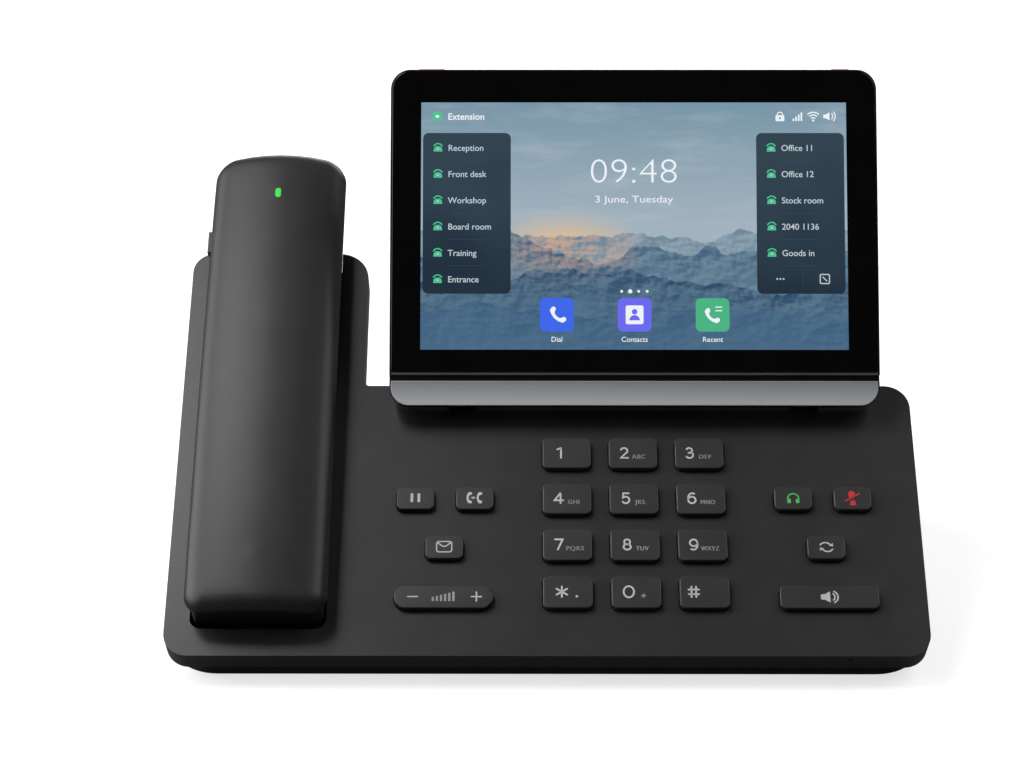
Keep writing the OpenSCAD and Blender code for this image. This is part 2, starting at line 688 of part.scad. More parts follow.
module hinge_pin(side) color("#b5b7ba") on_screen()
    translate([side * hinge_x - pin_l / 2 + 0.1, hinge_h, -hinge_d]) rotate([0, 90, 0])
        cylinder(r = pin_r, h = pin_l - 0.2);

// --- handset ----------------------------------------------------------------
edge_w = 5;                             // width and depth of the rounded back edge
edge_n = 4;
spine = 3;                              // half the width of the flat strip along the crown
least_r = 1.5;                          // least corner radius of the inner rings
side_draft = 0.7;                       // how far the side walls draw in at the seam
insets = [0, 0.25, 0.8, 1.7, 3, edge_w, 8, 11.5, 15.5, hand_w / 2 - spine];
ends = 3;                               // points on each half of an end
arcs = 8;                               // steps round a corner
sides = 14;                             // steps along a side

function crown(x, v) = crown_n - crown_side * pow(2 * x / hand_w, 2)
    - crown_end * pow(2 * v / hand_l - 1, 2);
function edge_drop(d) = d >= edge_w ? 0 : edge_n * (1 - sqrt(1 - pow(1 - d / edge_w, 2)));

// Right half of the outline drawn in by d, from the lower end to the upper
function half_ring(d) = let (a = hand_w / 2 - d, r1 = max(hand_low_r - d, least_r),
        r2 = max(hand_top_r - d, least_r))
    concat(
        [for (i = [0 : ends - 1]) [(a - r1) * i / ends, d]],
        [for (i = [0 : arcs]) let (t = 90 * i / arcs) [a - r1 + r1 * sin(t), d + r1 - r1 * cos(t)]],
        [for (i = [1 : sides - 1]) [a, d + r1 + (hand_l - 2 * d - r1 - r2) * i / sides]],
        [for (i = [0 : arcs]) let (t = 90 * i / arcs) [a - r2 + r2 * cos(t), hand_l - d - r2 + r2 * sin(t)]],
        [for (i = [ends - 1 : -1 : 0]) [(a - r2) * i / ends, hand_l - d]]);
// The same with the upper end arched
function arched(p) = [p[0], p[1] - (p[1] > hand_l / 2 ? hand_arch * pow(2 * p[0] / hand_w, 2) : 0)];
function ring(d) = let (h = [for (p = half_ring(d)) arched(p)], m = len(h))
    concat(h, [for (i = [m - 2 : -1 : 1]) [-h[i][0], h[i][1]]]);
function lifted(d) = [for (p = ring(d)) [p[0], p[1], crown(p[0], p[1]) - edge_drop(d)]];

// Closes the innermost ring: a fan at each end and strips across between them
function ring_cap(n) = let (top = n / 2, low_r = ends + 1, top_r = top - ends - 1)
    concat(
        [for (q = [0 : 2 * ends - 1]) [low_r, (n + ends - q) % n, (n + ends - q - 1) % n]],
        [[low_r, n - ends, n - low_r]],
        [for (i = [low_r : top_r - 1]) [i, n - i, n - i - 1, i + 1]],
        [for (q = [0 : 2 * ends - 1]) [top_r, top - ends + q + 1, top - ends + q]],
        [[top_r, n - top_r, top + ends]]);

module crowned_shell() {
    rings = concat([[for (p = ring(side_draft)) [p[0], p[1], seam_n]]], [for (d = insets) lifted(d)]);
    n = len(rings[0]);
    last = (len(rings) - 1) * n;
    polyhedron(
        points = [for (r = rings, p = r) p],
        faces = concat(
            [for (f = ring_cap(n)) [for (i = [len(f) - 1 : -1 : 0]) f[i]]],
            [for (k = [0 : len(rings) - 2], i = [0 : n - 1]) let (j = (i + 1) % n)
                each [[k * n + i, (k + 1) * n + i, k * n + j],
                      [k * n + j, (k + 1) * n + i, (k + 1) * n + j]]],
            [for (f = ring_cap(n)) [for (i = f) i + last]]));
}

led_v = 169.5;                          // the status light from the lower end
side_key_v = 150.7;
side_key_l = 9.3;
side_key_n = [10.3, 13.3];
side_key_proud = 0.9;
cavity_r = 4;
module handset_back_shell() color("#2c2d2f") on_handset() difference() {
    crowned_shell();
    translate([0, 0, seam_n - e]) linear_extrude(crown_n - crown_side - crown_end - seam_n + e)
        quad([-hand_w / 2 + edge_w, edge_w], [hand_w / 2 - edge_w, hand_l - edge_w - 3],
             [cavity_r, cavity_r, cavity_r, cavity_r]);
    translate([0, led_v, seam_n]) linear_extrude(crown_n) rounded(2.3, 4.3, 1.1);
    block([-hand_w / 2 - e, side_key_v - side_key_l / 2 - 0.2, side_key_n[0] - 0.2],
          [-hand_w / 2 + edge_w + e, side_key_v + side_key_l / 2 + 0.2, side_key_n[1] + 0.2]);
}

// Inner shell: ear and mouth ends that drop into the wells, with a grip between
inner_w = hand_w - 2 * hand_wall;
hump_low = 38;                          // inner end of the mouth hump
hump_top = 126;                         // inner end of the ear hump
hump_slope = 7;
module inner_profile(d = 0, top = seam_n) polygon([
    [1.2 + d, top], [1.2 + d, seam_n - 2], [3 + d, hand_floor + d], [hump_low - d / 2, hand_floor + d],
    [hump_low + hump_slope - d / 2, hand_grip_n + d], [hump_top - hump_slope + d / 2, hand_grip_n + d],
    [hump_top + d / 2, hand_floor + d], [hand_l - 6 - d, hand_floor + d],
    [hand_l - 1.4 - d, seam_n - 2], [hand_l - 1.4 - d, top]]);

module inner_solid(d = 0, top = seam_n) intersection() {
    across(inner_w) inner_profile(d, top);
    translate([0, 0, -20]) linear_extrude(40) quad([-inner_w / 2 + d, d], [inner_w / 2 - d, hand_l - d],
        [6 - d, 6 - d, 9 - d, 9 - d]);
    rotate([-90, 0, 0]) mirror([0, 1, 0]) linear_extrude(hand_l)
        quad([-inner_w / 2 + d, hand_floor + d], [inner_w / 2 - d, 20], [4 - d, 4 - d, 0, 0]);
}

ear_at = hand_l - 27;                   // middle of the earpiece from the lower end
module handset_inner_shell() color("#1e1f20") on_handset() difference() {
    inner_solid();
    inner_solid(hand_wall, seam_n + e);
    translate([0, ear_at, hand_floor - e]) {
        cylinder(r = 0.9, h = 3);
        for (a = [0 : 60 : 300]) rotate([0, 0, a]) translate([3.6, 0, 0]) cylinder(r = 0.9, h = 3);
    }
    translate([0, 8, hand_floor - e]) cylinder(r = 0.7, h = 3);
    for (i = [-1 : 1]) translate([i * contact_dx, contact_v - hand_v, hand_floor - e])
        linear_extrude(3) rounded(contact_w, contact_l, 0.6);
}

receiver_r = 10;
receiver_h = 4.5;
module handset_receiver() color("#3a3b3e") on_handset() translate([0, ear_at, hand_floor + hand_wall])
    difference() {
        cylinder(r = receiver_r, h = receiver_h);
        translate([0, 0, -e]) cylinder(r = receiver_r - 2.5, h = 1 + e);
    }

cell_w = inner_w - 9.2;
cell_h = 5;
module handset_battery() color("#2f4f6f") on_handset()
    translate([0, 0, hand_grip_n + hand_wall]) linear_extrude(cell_h)
        quad([-cell_w / 2, hump_low + 17], [cell_w / 2, hump_top - 18], [2, 2, 2, 2]);

module handset_board() color("#1f5a3a") on_handset() translate([0, 0, seam_n + 0.05])
    linear_extrude(board_t - 0.4) quad([-cell_w / 2 - 0.5, 9], [cell_w / 2 + 0.5, hand_l - 16], [3, 3, 6, 6]);

module handset_contacts() color("#c9a54a") on_handset() for (i = [-1 : 1])
    translate([i * contact_dx, contact_v - hand_v, hand_floor])
        linear_extrude(hand_wall) rounded(contact_w - 0.1, contact_l - 0.1, 0.5);

module handset_led() color("#35c94a") on_handset() translate([0, led_v, seam_n + 1.25])
    linear_extrude(crown(0, led_v) - seam_n - 1.1) rounded(2.1, 4.1, 1.04);

module handset_side_key() color("#242526") on_handset() {
    block([-hand_w / 2 - side_key_proud, side_key_v - side_key_l / 2, side_key_n[0]],
          [-hand_w / 2 + edge_w, side_key_v + side_key_l / 2, side_key_n[1]]);
}

base_top_cover();
base_bottom_cover();
speaker_grille();
loudspeaker();
keypad_membrane();
keypad_board();
main_board();
net_jack(1);  // lan_jack
net_jack(2);  // pc_jack
cord_jack(3);  // handset_jack
cord_jack(4);  // headset_jack
usb_port();
power_jack();
base_feet();
socket_plate();
base_screws();
hinge_bracket(hinges_u[0]);  // hinge_bracket_left
hinge_bracket(hinges_u[1]);  // hinge_bracket_right
cradle_contacts();
key(dial_place(0));  // key_1
key(dial_place(1));  // key_2
key(dial_place(2));  // key_3
key(dial_place(3));  // key_4
key(dial_place(4));  // key_5
key(dial_place(5));  // key_6
key(dial_place(6));  // key_7
key(dial_place(7));  // key_8
key(dial_place(8));  // key_9
key(dial_place(9));  // key_star
key(dial_place(10));  // key_0
key(dial_place(11));  // key_hash
key(hold_place);  // key_hold
key(transfer_place);  // key_transfer
key(message_place);  // key_message
key(headset_place);  // key_headset
key(mute_place);  // key_mute
key(redial_place);  // key_redial
key(speaker_place);  // key_speaker
volume_rocker();
screen_glass();
display_panel();
screen_frame();
screen_back_cover();
chin_trim();
indicator(0);  // indicator_left
indicator(1);  // indicator_right
camera_port_cover();
screen_board();
hinge_pin(-1);  // hinge_pin_left
hinge_pin(1);  // hinge_pin_right
handset_back_shell();
handset_inner_shell();
handset_led();
handset_receiver();
handset_battery();
handset_board();
handset_contacts();
handset_side_key();
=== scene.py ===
"""Looks of a desk IP phone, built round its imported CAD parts."""
import json
import math

import bmesh
import bpy
import numpy as np
from mathutils import Matrix, Vector
from mathutils.geometry import tessellate_polygon


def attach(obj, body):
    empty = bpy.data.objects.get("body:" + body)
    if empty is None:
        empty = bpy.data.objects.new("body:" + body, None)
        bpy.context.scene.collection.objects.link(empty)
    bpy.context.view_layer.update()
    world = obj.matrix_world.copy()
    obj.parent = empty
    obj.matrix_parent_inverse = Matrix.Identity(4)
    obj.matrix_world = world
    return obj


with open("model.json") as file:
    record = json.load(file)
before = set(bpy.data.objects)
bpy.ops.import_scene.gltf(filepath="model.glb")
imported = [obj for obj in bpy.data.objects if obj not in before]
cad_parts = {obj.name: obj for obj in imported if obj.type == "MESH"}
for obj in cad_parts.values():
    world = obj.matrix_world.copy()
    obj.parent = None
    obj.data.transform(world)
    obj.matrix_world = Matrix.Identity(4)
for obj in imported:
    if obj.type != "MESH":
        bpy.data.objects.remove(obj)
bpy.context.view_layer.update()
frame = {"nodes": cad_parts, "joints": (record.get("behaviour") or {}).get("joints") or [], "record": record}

MM = 0.001
# Width of the faint clouds in a moulded colour, in millimetres
CLOUD_MM = 14
# Roughness of the polished cover glass, which also lies over the lit shapes
GLASS_ROUGH = 0.09
# Black that shows through wherever the display gives no light
UNLIT = "#020203"
scene = bpy.context.scene
nodes = frame["nodes"]
record = frame["record"]
slot_of = {part["node"]: part["material_slot"] for part in record["subparts"]}
body_of = {n: b for b, names in record["behaviour"]["bodies"].items() for n in names}


# --- where things are -------------------------------------------------------
def vertices(node):
    mesh = nodes[node].data
    points = np.empty(len(mesh.vertices) * 3)
    mesh.vertices.foreach_get("co", points)
    return points.reshape(-1, 3)


def largest_face(node, towards):
    """Direction of the node's largest flat side that looks the given way."""
    best = {}
    for face in nodes[node].data.polygons:
        if face.normal.dot(towards) > 0.3:
            key = tuple(round(c, 3) for c in face.normal)
            best[key] = best.get(key, 0) + face.area
    return Vector(max(best, key=best.get)).normalized()


class Place:
    """A flat working plane in millimetres: x across, y up the slope, z outwards."""

    def __init__(self, origin, out):
        self.origin = Vector(origin)
        self.x = Vector((1, 0, 0))
        self.z = Vector(out).normalized()
        self.y = self.z.cross(self.x)

    def at(self, x, y, z=0.0):
        return self.origin + (self.x * x + self.y * y + self.z * z) * MM

    def span(self, node):
        """Lowest and highest x, y and z of a node on this plane."""
        axes = np.array([self.x, self.y, self.z])
        local = (vertices(node) - np.array(self.origin)) @ axes.T / MM
        return local.min(0), local.max(0)

    def moved(self, x, y, z):
        return Place(self.at(x, y, z), self.z)


joints = {j["name"]: j for j in frame["joints"]}
up_front = Vector((0, -1, 1))
panel_out = Vector(joints["handset_lift"]["axis"])
panel = Place((0, 0, 0), panel_out)
cover_low, cover_high = panel.span("base_top_cover")
# Origin at the middle of the key panel's front edge
panel = panel.moved(0, cover_low[1], cover_high[2])
glass_out = largest_face("screen_glass", up_front)
glass = Place((0, 0, 0), glass_out)


def on_top(plane, node):
    """A plane on a node's highest side, with its origin in the middle."""
    low, high = plane.span(node)
    return plane.moved((low[0] + high[0]) / 2, (low[1] + high[1]) / 2, high[2])


# --- materials --------------------------------------------------------------
def hexed(code):
    """An sRGB hex colour as linear RGBA."""
    parts = [int(code[i : i + 2], 16) / 255 for i in (1, 3, 5)]
    linear = [c / 12.92 if c <= 0.04045 else ((c + 0.055) / 1.055) ** 2.4 for c in parts]
    return (*linear, 1.0)


def add(tree, kind, sockets=None, **settings):
    """Adds a node with its settings, and sets or links its sockets. Shader nodes are
    named without their prefix."""
    node = tree.nodes.new(kind if "Node" in kind else "ShaderNode" + kind)
    for name, value in settings.items():
        setattr(node, name, value)
    for name, value in (sockets or {}).items():
        if isinstance(value, bpy.types.NodeSocket):
            tree.links.new(value, node.inputs[name])
        else:
            node.inputs[name].default_value = value
    return node


def new_material(name):
    """An empty material and its node tree."""
    material = bpy.data.materials.new(name)
    material.use_nodes = True
    material.node_tree.nodes.clear()
    return material, material.node_tree


def close(material, shader):
    """Makes a shader the surface of its material."""
    output = add(material.node_tree, "OutputMaterial", {"Surface": shader.outputs[0]})
    output.is_active_output = True
    return material


def plastic(name, dark, light, rough, grain_mm=0.5, depth=0.012, gloss=0.5, soft=0.03):
    """Plastic, rubber, ink or black glass: two close shades in soft clouds, an even
    texture and a set shine. Real moulded texture has grains of about 0.1 mm; the grains
    here are coarser than real, so that they show."""
    material, tree = new_material(name)
    spot = add(tree, "TexCoord").outputs["Object"]
    cloud = add(tree, "TexNoise", {"Vector": spot, "Scale": 1 / (CLOUD_MM * MM), "Detail": 2.0})
    share = add(
        tree, "MapRange", {"Value": cloud.outputs["Fac"], "From Min": 0.35, "From Max": 0.65}
    )
    shades = {"Factor": share.outputs["Result"], 6: hexed(dark), 7: hexed(light)}
    texture = add(
        tree, "TexNoise", {"Vector": spot, "Scale": 1 / (grain_mm * MM), "Detail": 1.0}
    ).outputs["Fac"]
    shine = {"To Min": rough - soft, "To Max": rough + soft}
    worn = add(tree, "MapRange", {"Value": texture, "From Min": 0.3, "From Max": 0.7, **shine})
    bump = add(tree, "Bump", {"Height": texture, "Strength": 0.35, "Distance": depth * MM})
    shader = add(
        tree,
        "BsdfPrincipled",
        {
            "Base Color": add(tree, "Mix", shades, data_type="RGBA").outputs[2],
            "Roughness": worn.outputs["Result"],
            "IOR": 1.52,
            "Specular IOR Level": gloss,
            "Normal": bump.outputs["Normal"],
        },
    )
    return close(material, shader)


def metal(name, dark, light, rough, grain_mm, metallic=1.0, stretch=(1, 1, 1)):
    """Metal, with crystal flakes or drawn lines of the given size. Real ones are about
    0.05 mm; they are drawn coarser, so that they show."""
    material, tree = new_material(name)
    spot = add(tree, "TexCoord").outputs["Object"]
    drawn = add(tree, "Mapping", {"Vector": spot, "Scale": stretch}).outputs["Vector"]
    flakes = add(tree, "TexNoise", {"Vector": drawn, "Scale": 1 / (grain_mm * MM), "Detail": 2.0})
    spread = {"Value": flakes.outputs["Fac"], "From Min": 0.3, "From Max": 0.7}
    share = add(tree, "MapRange", spread).outputs["Result"]
    shades = {"Factor": share, 6: hexed(dark), 7: hexed(light)}
    worn = add(tree, "MapRange", {**spread, "To Min": rough - 0.05, "To Max": rough + 0.05})
    shader = add(
        tree,
        "BsdfPrincipled",
        {
            "Base Color": add(tree, "Mix", shades, data_type="RGBA").outputs[2],
            "Metallic": metallic,
            "Roughness": worn.outputs["Result"],
        },
    )
    return close(material, shader)


def behind_glass(material, colour, strength=1.0, rough=GLASS_ROUGH):
    """Closes a material that glows in a colour under the smooth shine of its cover."""
    sockets = {
        "Base Color": hexed(UNLIT),
        "Roughness": rough,
        "Emission Color": colour,
        "Emission Strength": strength,
    }
    return close(material, add(material.node_tree, "BsdfPrincipled", sockets))


def lit(name, code, strength=1.0, rough=GLASS_ROUGH):
    """A lit area of the display: an even colour from the back light, in fine dots that
    are a little dimmer at the rim. Real dots are 0.15 mm wide; these are 0.3 mm, so that
    they show."""
    material, tree = new_material(name)
    spot = add(tree, "TexCoord").outputs["Object"]
    dots = add(tree, "TexVoronoi", {"Vector": spot, "Scale": 1 / (0.3 * MM)})
    rim = add(tree, "MapRange", {"Value": dots.outputs["Distance"], "From Max": 0.9})
    full = hexed(code)
    rim_light = 0.93
    dimmed = [rim_light * c for c in full[:3]] + [1.0]
    shades = {"Factor": rim.outputs["Result"], 6: full, 7: dimmed}
    glow = add(tree, "Mix", shades, data_type="RGBA").outputs[2]
    return behind_glass(material, glow, strength, rough)


def solder_mask():
    """Green solder mask over copper tracks: soft lines and a varnish shine. The tracks
    are about 0.3 mm wide, which is a real width, in a pattern that repeats every 4.5 mm."""
    material, tree = new_material("board_solder_mask")
    spot = add(tree, "TexCoord").outputs["Object"]
    tracks = add(
        tree,
        "TexBrick",
        {
            "Vector": spot,
            "Scale": 1 / (4.545 * MM),
            "Mortar Size": 0.06,
            "Mortar": hexed("#2f7a4c"),
            "Color1": hexed("#1c5a37"),
            "Color2": hexed("#20633d"),
        },
        offset=0.5,
    )
    shader = add(
        tree,
        "BsdfPrincipled",
        {"Base Color": tracks.outputs["Color"], "Roughness": 0.35, "IOR": 1.5, "Coat Weight": 0.3},
    )
    return close(material, shader)


def silver_paint():
    """Silver paint on plastic: fine flakes under a clear coat, with painted shade
    that darkens the colour towards the upper edge. Real flakes are about
    0.02 mm; they are drawn at 0.25 mm, so that they show."""
    material, tree = new_material("silver_paint")
    spot = add(tree, "TexCoord")
    height = add(tree, "SeparateXYZ", {"Vector": spot.outputs["Generated"]}).outputs["Z"]
    flakes = add(
        tree,
        "TexNoise",
        {"Vector": spot.outputs["Object"], "Scale": 1 / (0.25 * MM), "Detail": 2.0},
    ).outputs["Fac"]
    spread = {"From Min": 0.3, "From Max": 0.7, "To Min": -0.12, "To Max": 0.12}
    scatter = add(tree, "MapRange", {"Value": flakes, **spread}).outputs["Result"]
    # Painted shade: the colour darkens with height towards the upper edge, and the flakes break up its
    # border
    cover = add(tree, "Math", {0: height, 1: scatter}, operation="ADD").outputs[0]
    painted_shade = add(tree, "MapRange", {"Value": cover, "From Min": 0.1}).outputs["Result"]
    shades = {"Factor": painted_shade, 6: hexed("#d3d6da"), 7: hexed("#96999e")}
    shader = add(
        tree,
        "BsdfPrincipled",
        {
            "Base Color": add(tree, "Mix", shades, data_type="RGBA").outputs[2],
            "Metallic": 0.15,
            "Roughness": 0.42,
            "Coat Weight": 0.2,
            "Coat Roughness": 0.25,
        },
    )
    return close(material, shader)


finishes = {
    # Injection-moulded ABS, charcoal, spark-eroded satin texture: soft broad highlights
    "base_cover": plastic("charcoal_abs_satin", "#2c2c2c", "#303030", 0.31, 0.6),
    # The same ABS in a darker shade, coarser texture: nearly no shine
    "plinth": plastic("black_abs_matt", "#202020", "#252525", 0.55, 0.7),
    # Key caps of painted ABS, smoother than the base
    "key_cap": plastic("key_cap_abs", "#2a2a2a", "#2e2e2e", 0.4, 0.4, 0.006),
    # Handset shell of the same ABS as the base: darker, with a soft even sheen
    "handset_back": plastic("handset_abs_satin", "#1f1f1f", "#232323", 0.42, 0.6, 0.012, 0.4),
    # The shell that faces the head: duller and nearly black
    "handset_inner": plastic("handset_inner_abs", "#151515", "#191919", 0.5, 0.6),
    # Screen housing: black ABS, a little glossier
    "screen_body": plastic("black_abs_satin", "#0e0e0f", "#121213", 0.36, 0.5),
    # Painted strip at the screen's foot: silver, with painted shade that greys it towards its upper edge
    "trim_silver": silver_paint(),
    # Cover glass, printed black behind: deep and mirror-smooth
    "cover_glass": plastic("black_printed_glass", "#020203", "#030304", 0.05, 2.0, 0.0, 0.5, 0.01),
    # The display's own back light, where no picture covers it
    "display": lit("display_back_light", "#41606f"),
    # Translucent red light strip, moulded polycarbonate
    "indicator_red": lit("lit_red_polycarbonate", "#d03a3c", 0.8, 0.3),
    # Moulded rubber: black, no shine
    "foot_rubber": plastic("foot_rubber", "#0b0b0c", "#101011", 0.8, 0.4, 0.03, 0.3),
    # Silicone dome sheet: milky and dull
    "silicone": plastic("silicone_sheet", "#b9bbbc", "#c8cacb", 0.6, 0.5, 0.01, 0.4),
    # Fibreglass boards under a green varnish
    "circuit_board": solder_mask(),
    # Tin-plated socket shells: drawn lines along X
    "socket_metal": metal("tin_plate", "#8d8f93", "#a5a7ab", 0.35, 0.15, 1.0, (0.1, 1, 1)),
    # Nylon bodies and the speaker's frame: black and dull
    "socket_black": plastic("socket_nylon", "#0f0f10", "#141415", 0.4, 0.5),
    "speaker_black": plastic("speaker_frame_abs", "#141415", "#1a1a1b", 0.55, 0.5),
    # Coated steel shows little metal; zinc and gold plating mirror in soft patches
    "hinge_steel": metal("black_coated_steel", "#26272a", "#303236", 0.45, 0.3, 0.6),
    "plated_steel": metal("zinc_plated_steel", "#8e9297", "#a8acb1", 0.3, 0.2),
    "contact_gold": metal("gold_plating", "#b8923c", "#cda54a", 0.25, 0.3),
    # Heat-shrunk sleeve round the cell: blue and glossy
    "battery_wrap": plastic("shrink_sleeve_pvc", "#1d4266", "#24507a", 0.25, 1.5, 0.01, 0.5),
}


def glowing_lens():
    """Clear lens over a green diode: bright in the middle, deeper at the rim."""
    material, tree = new_material("green_lens_acrylic")
    facing = add(tree, "LayerWeight", {"Blend": 0.35}).outputs["Facing"]
    shades = {"Factor": facing, 6: hexed("#46cf50"), 7: hexed("#22983a")}
    shader = add(
        tree,
        "BsdfPrincipled",
        {
            "Base Color": hexed("#2fae3c"),
            "Roughness": 0.2,
            "Emission Color": add(tree, "Mix", shades, data_type="RGBA").outputs[2],
            "Emission Strength": 0.7,
            "Coat Weight": 0.5,
        },
    )
    return close(material, shader)


finishes["led_green"] = glowing_lens()
# Legends printed in pale ink: matt, a little uneven
ink = {
    "digit": plastic("pale_grey_ink", "#c4c5c6", "#cfd0d1", 0.6, 0.3, 0.003, 0.3),
    "letter": plastic("mid_grey_ink", "#9a9b9c", "#a6a7a8", 0.6, 0.3, 0.003, 0.3),
    "green": plastic("green_ink", "#4fc25e", "#5fd26e", 0.55, 0.3, 0.003, 0.3),
    "red": plastic("red_ink", "#cf3138", "#dc3b42", 0.55, 0.3, 0.003, 0.3),
}
light_ui = {
    "white": lit("screen_white", "#f2f7fc"),
    "pale": lit("screen_pale_text", "#c3ced6"),
    "faint": lit("screen_divider", "#3c4c58"),
    "blue": lit("screen_blue", "#4069ee"),
    "violet": lit("screen_violet", "#6d6cf3"),
    "green": lit("screen_green", "#4db685"),
    "call_green": lit("screen_call_green", "#4fc795"),
}


# --- soft edges on the CAD parts -------------------------------------------
# Corners closer than this, in metres, are one corner
JOINED = 2e-7
# Edges that bend more than this stay sharp or get their radius
SHARP = math.radians(32)
# Faces that bend less than this are one face
FLAT = math.radians(0.5)


def tidy_group():
    """Joins the imported faces, drops their stored normals and shades them smooth,
    with sharp edges where two faces meet at more than the set angle."""
    group = bpy.data.node_groups.new("smooth_by_angle", "GeometryNodeTree")
    new_socket = group.interface.new_socket
    new_socket("Geometry", in_out="INPUT", socket_type="NodeSocketGeometry")
    angle = new_socket("Angle", in_out="INPUT", socket_type="NodeSocketFloat")
    new_socket("Geometry", in_out="OUTPUT", socket_type="NodeSocketGeometry")
    start = add(group, "NodeGroupInput")
    merged = {"Geometry": start.outputs["Geometry"], "Distance": JOINED}
    shape = add(group, "GeometryNodeMergeByDistance", merged).outputs["Geometry"]
    dropped = {"Geometry": shape, "Name": "custom_normal"}
    shape = add(group, "GeometryNodeRemoveAttribute", dropped).outputs["Geometry"]
    shape = add(group, "GeometryNodeSetShadeSmooth", {"Geometry": shape}).outputs["Geometry"]
    bend = add(group, "GeometryNodeInputMeshEdgeAngle").outputs["Unsigned Angle"]
    wide = {0: bend, 1: start.outputs["Angle"]}
    sharp = add(group, "FunctionNodeCompare", wide, operation="GREATER_THAN").outputs["Result"]
    creased = {"Geometry": shape, "Selection": sharp, "Shade Smooth": False}
    shape = add(group, "GeometryNodeSetShadeSmooth", creased, domain="EDGE").outputs["Geometry"]
    add(group, "NodeGroupOutput", {"Geometry": shape})
    return group, angle.identifier


smooth_group, angle_id = tidy_group()
# Edge radius of each part in millimetres; parts not named keep their CAD edges
edge_radius = {
    "base_top_cover": 0.5,
    "screen_frame": 0.2,
    "screen_back_cover": 0.6,
    "chin_trim": 0.3,
    "screen_glass": 0.2,
    "indicator_left": 0.2,
    "indicator_right": 0.2,
    "camera_port_cover": 0.3,
    "handset_inner_shell": 0.5,
    "handset_side_key": 0.3,
    "hinge_bracket_left": 0.3,
    "hinge_bracket_right": 0.3,
}
# Parts whose faces count by their area, so that long thin ones don't streak the
# rounded stretches
even_shading = (
    "handset_back_shell",
    "handset_inner_shell",
    "base_bottom_cover",
    "base_top_cover",
    "screen_back_cover",
    "screen_frame",
)
for name, piece in nodes.items():
    piece.data.materials.clear()
    piece.data.materials.append(finishes[slot_of[name]])
    smooth = piece.modifiers.new("smooth", "NODES")
    smooth.node_group = smooth_group
    smooth[angle_id] = SHARP
    if name in edge_radius:
        flat = piece.modifiers.new("whole_faces", "DECIMATE")
        flat.decimate_type = "DISSOLVE"
        flat.angle_limit = FLAT
        bevel = piece.modifiers.new("soft_edges", "BEVEL")
        bevel.width = edge_radius[name] * MM
        bevel.segments = 3
        bevel.limit_method = "ANGLE"
        bevel.angle_limit = SHARP
        bevel.use_clamp_overlap = True
    if name in even_shading:
        even = piece.modifiers.new("even_shading", "WEIGHTED_NORMAL")
        even.keep_sharp = True


# --- printed and lit shapes -------------------------------------------------
def arc(x, y, radius, start, end, steps=12, tall=1.0):
    """Points on an arc, angles in degrees; tall makes it an oval."""
    turns = [math.radians(start + (end - start) * i / steps) for i in range(steps + 1)]
    return [(x + radius * math.cos(t), y + radius * tall * math.sin(t)) for t in turns]


def ribbon(points, width):
    """Outline of a stroke with round ends; width may be a list, one for each point."""
    widths = width if isinstance(width, list) else [width] * len(points)
    line = [Vector(p) for p in points]
    left, right = [], []
    for i, p in enumerate(line):
        before = (p - line[i - 1]).normalized() if i else None
        after = (line[i + 1] - p).normalized() if i < len(line) - 1 else None
        way = ((before or after) + (after or before)).normalized()
        side = Vector((-way.y, way.x))
        onward = after or before
        # Wider across a bend, but never more than twice
        reach = widths[i] / 2 / max(0.5, side.dot(Vector((-onward.y, onward.x))))
        left.append(p + side * reach)
        right.append(p - side * reach)

    def cap(centre, way, half):
        turn = math.atan2(way.y, way.x)
        return [
            centre + Vector((math.cos(turn + a), math.sin(turn + a))) * half
            for a in (math.radians(60), 0.0, math.radians(-60))
        ]

    ahead = (line[-1] - line[-2]).normalized()
    behind = (line[0] - line[1]).normalized()
    outline = left + cap(line[-1], ahead, widths[-1] / 2)
    outline += right[::-1] + cap(line[0], behind, widths[0] / 2)
    return [tuple(p) for p in outline]


def rounded_box(x, y, width, height, radius, steps=5):
    """Outline of a rounded rectangle about a middle."""
    a, b = width / 2 - radius, height / 2 - radius
    loop = []
    for sx, sy, start in ((1, 1, 0), (-1, 1, 90), (-1, -1, 180), (1, -1, 270)):
        loop += arc(x + sx * a, y + sy * b, radius, start, start + 90, steps)
    return loop


def disc(x, y, radius, steps=20):
    """Outline of a disc."""
    return arc(x, y, radius, 0, 360, steps)[:-1]


def ring(x, y, radius, tall, width, steps=28):
    """Outer and inner outline of an oval ring."""
    loops = []
    for half in (width / 2, -width / 2):
        across, up = radius + half, radius * tall + half
        loops.append(arc(x, y, across, 0, 360, steps, up / across)[:-1])
    return loops[0], loops[1][::-1]


def prism(mesh, place, loops, low, high):
    """Closed flat form between two heights; the first loop is its edge, the others holes."""
    triangles = tessellate_polygon([[Vector((x, y, 0)) for x, y in loop] for loop in loops])
    points = [p for loop in loops for p in loop]
    below = [mesh.verts.new(place.at(x, y, low)) for x, y in points]
    above = [mesh.verts.new(place.at(x, y, high)) for x, y in points]
    for corners in triangles:
        mesh.faces.new([above[i] for i in corners])
        mesh.faces.new([below[i] for i in reversed(corners)])
    first = 0
    for loop in loops:
        count = len(loop)
        for i in range(count):
            a, b = first + i, first + (i + 1) % count
            mesh.faces.new((below[a], below[b], above[b], above[a]))
        first += count


# Height of a capital letter of the built-in typeface at size 1
CAPITAL = 0.729
# Points of a letter closer than this, in metres, are one point
SAME_POINT = 1e-7


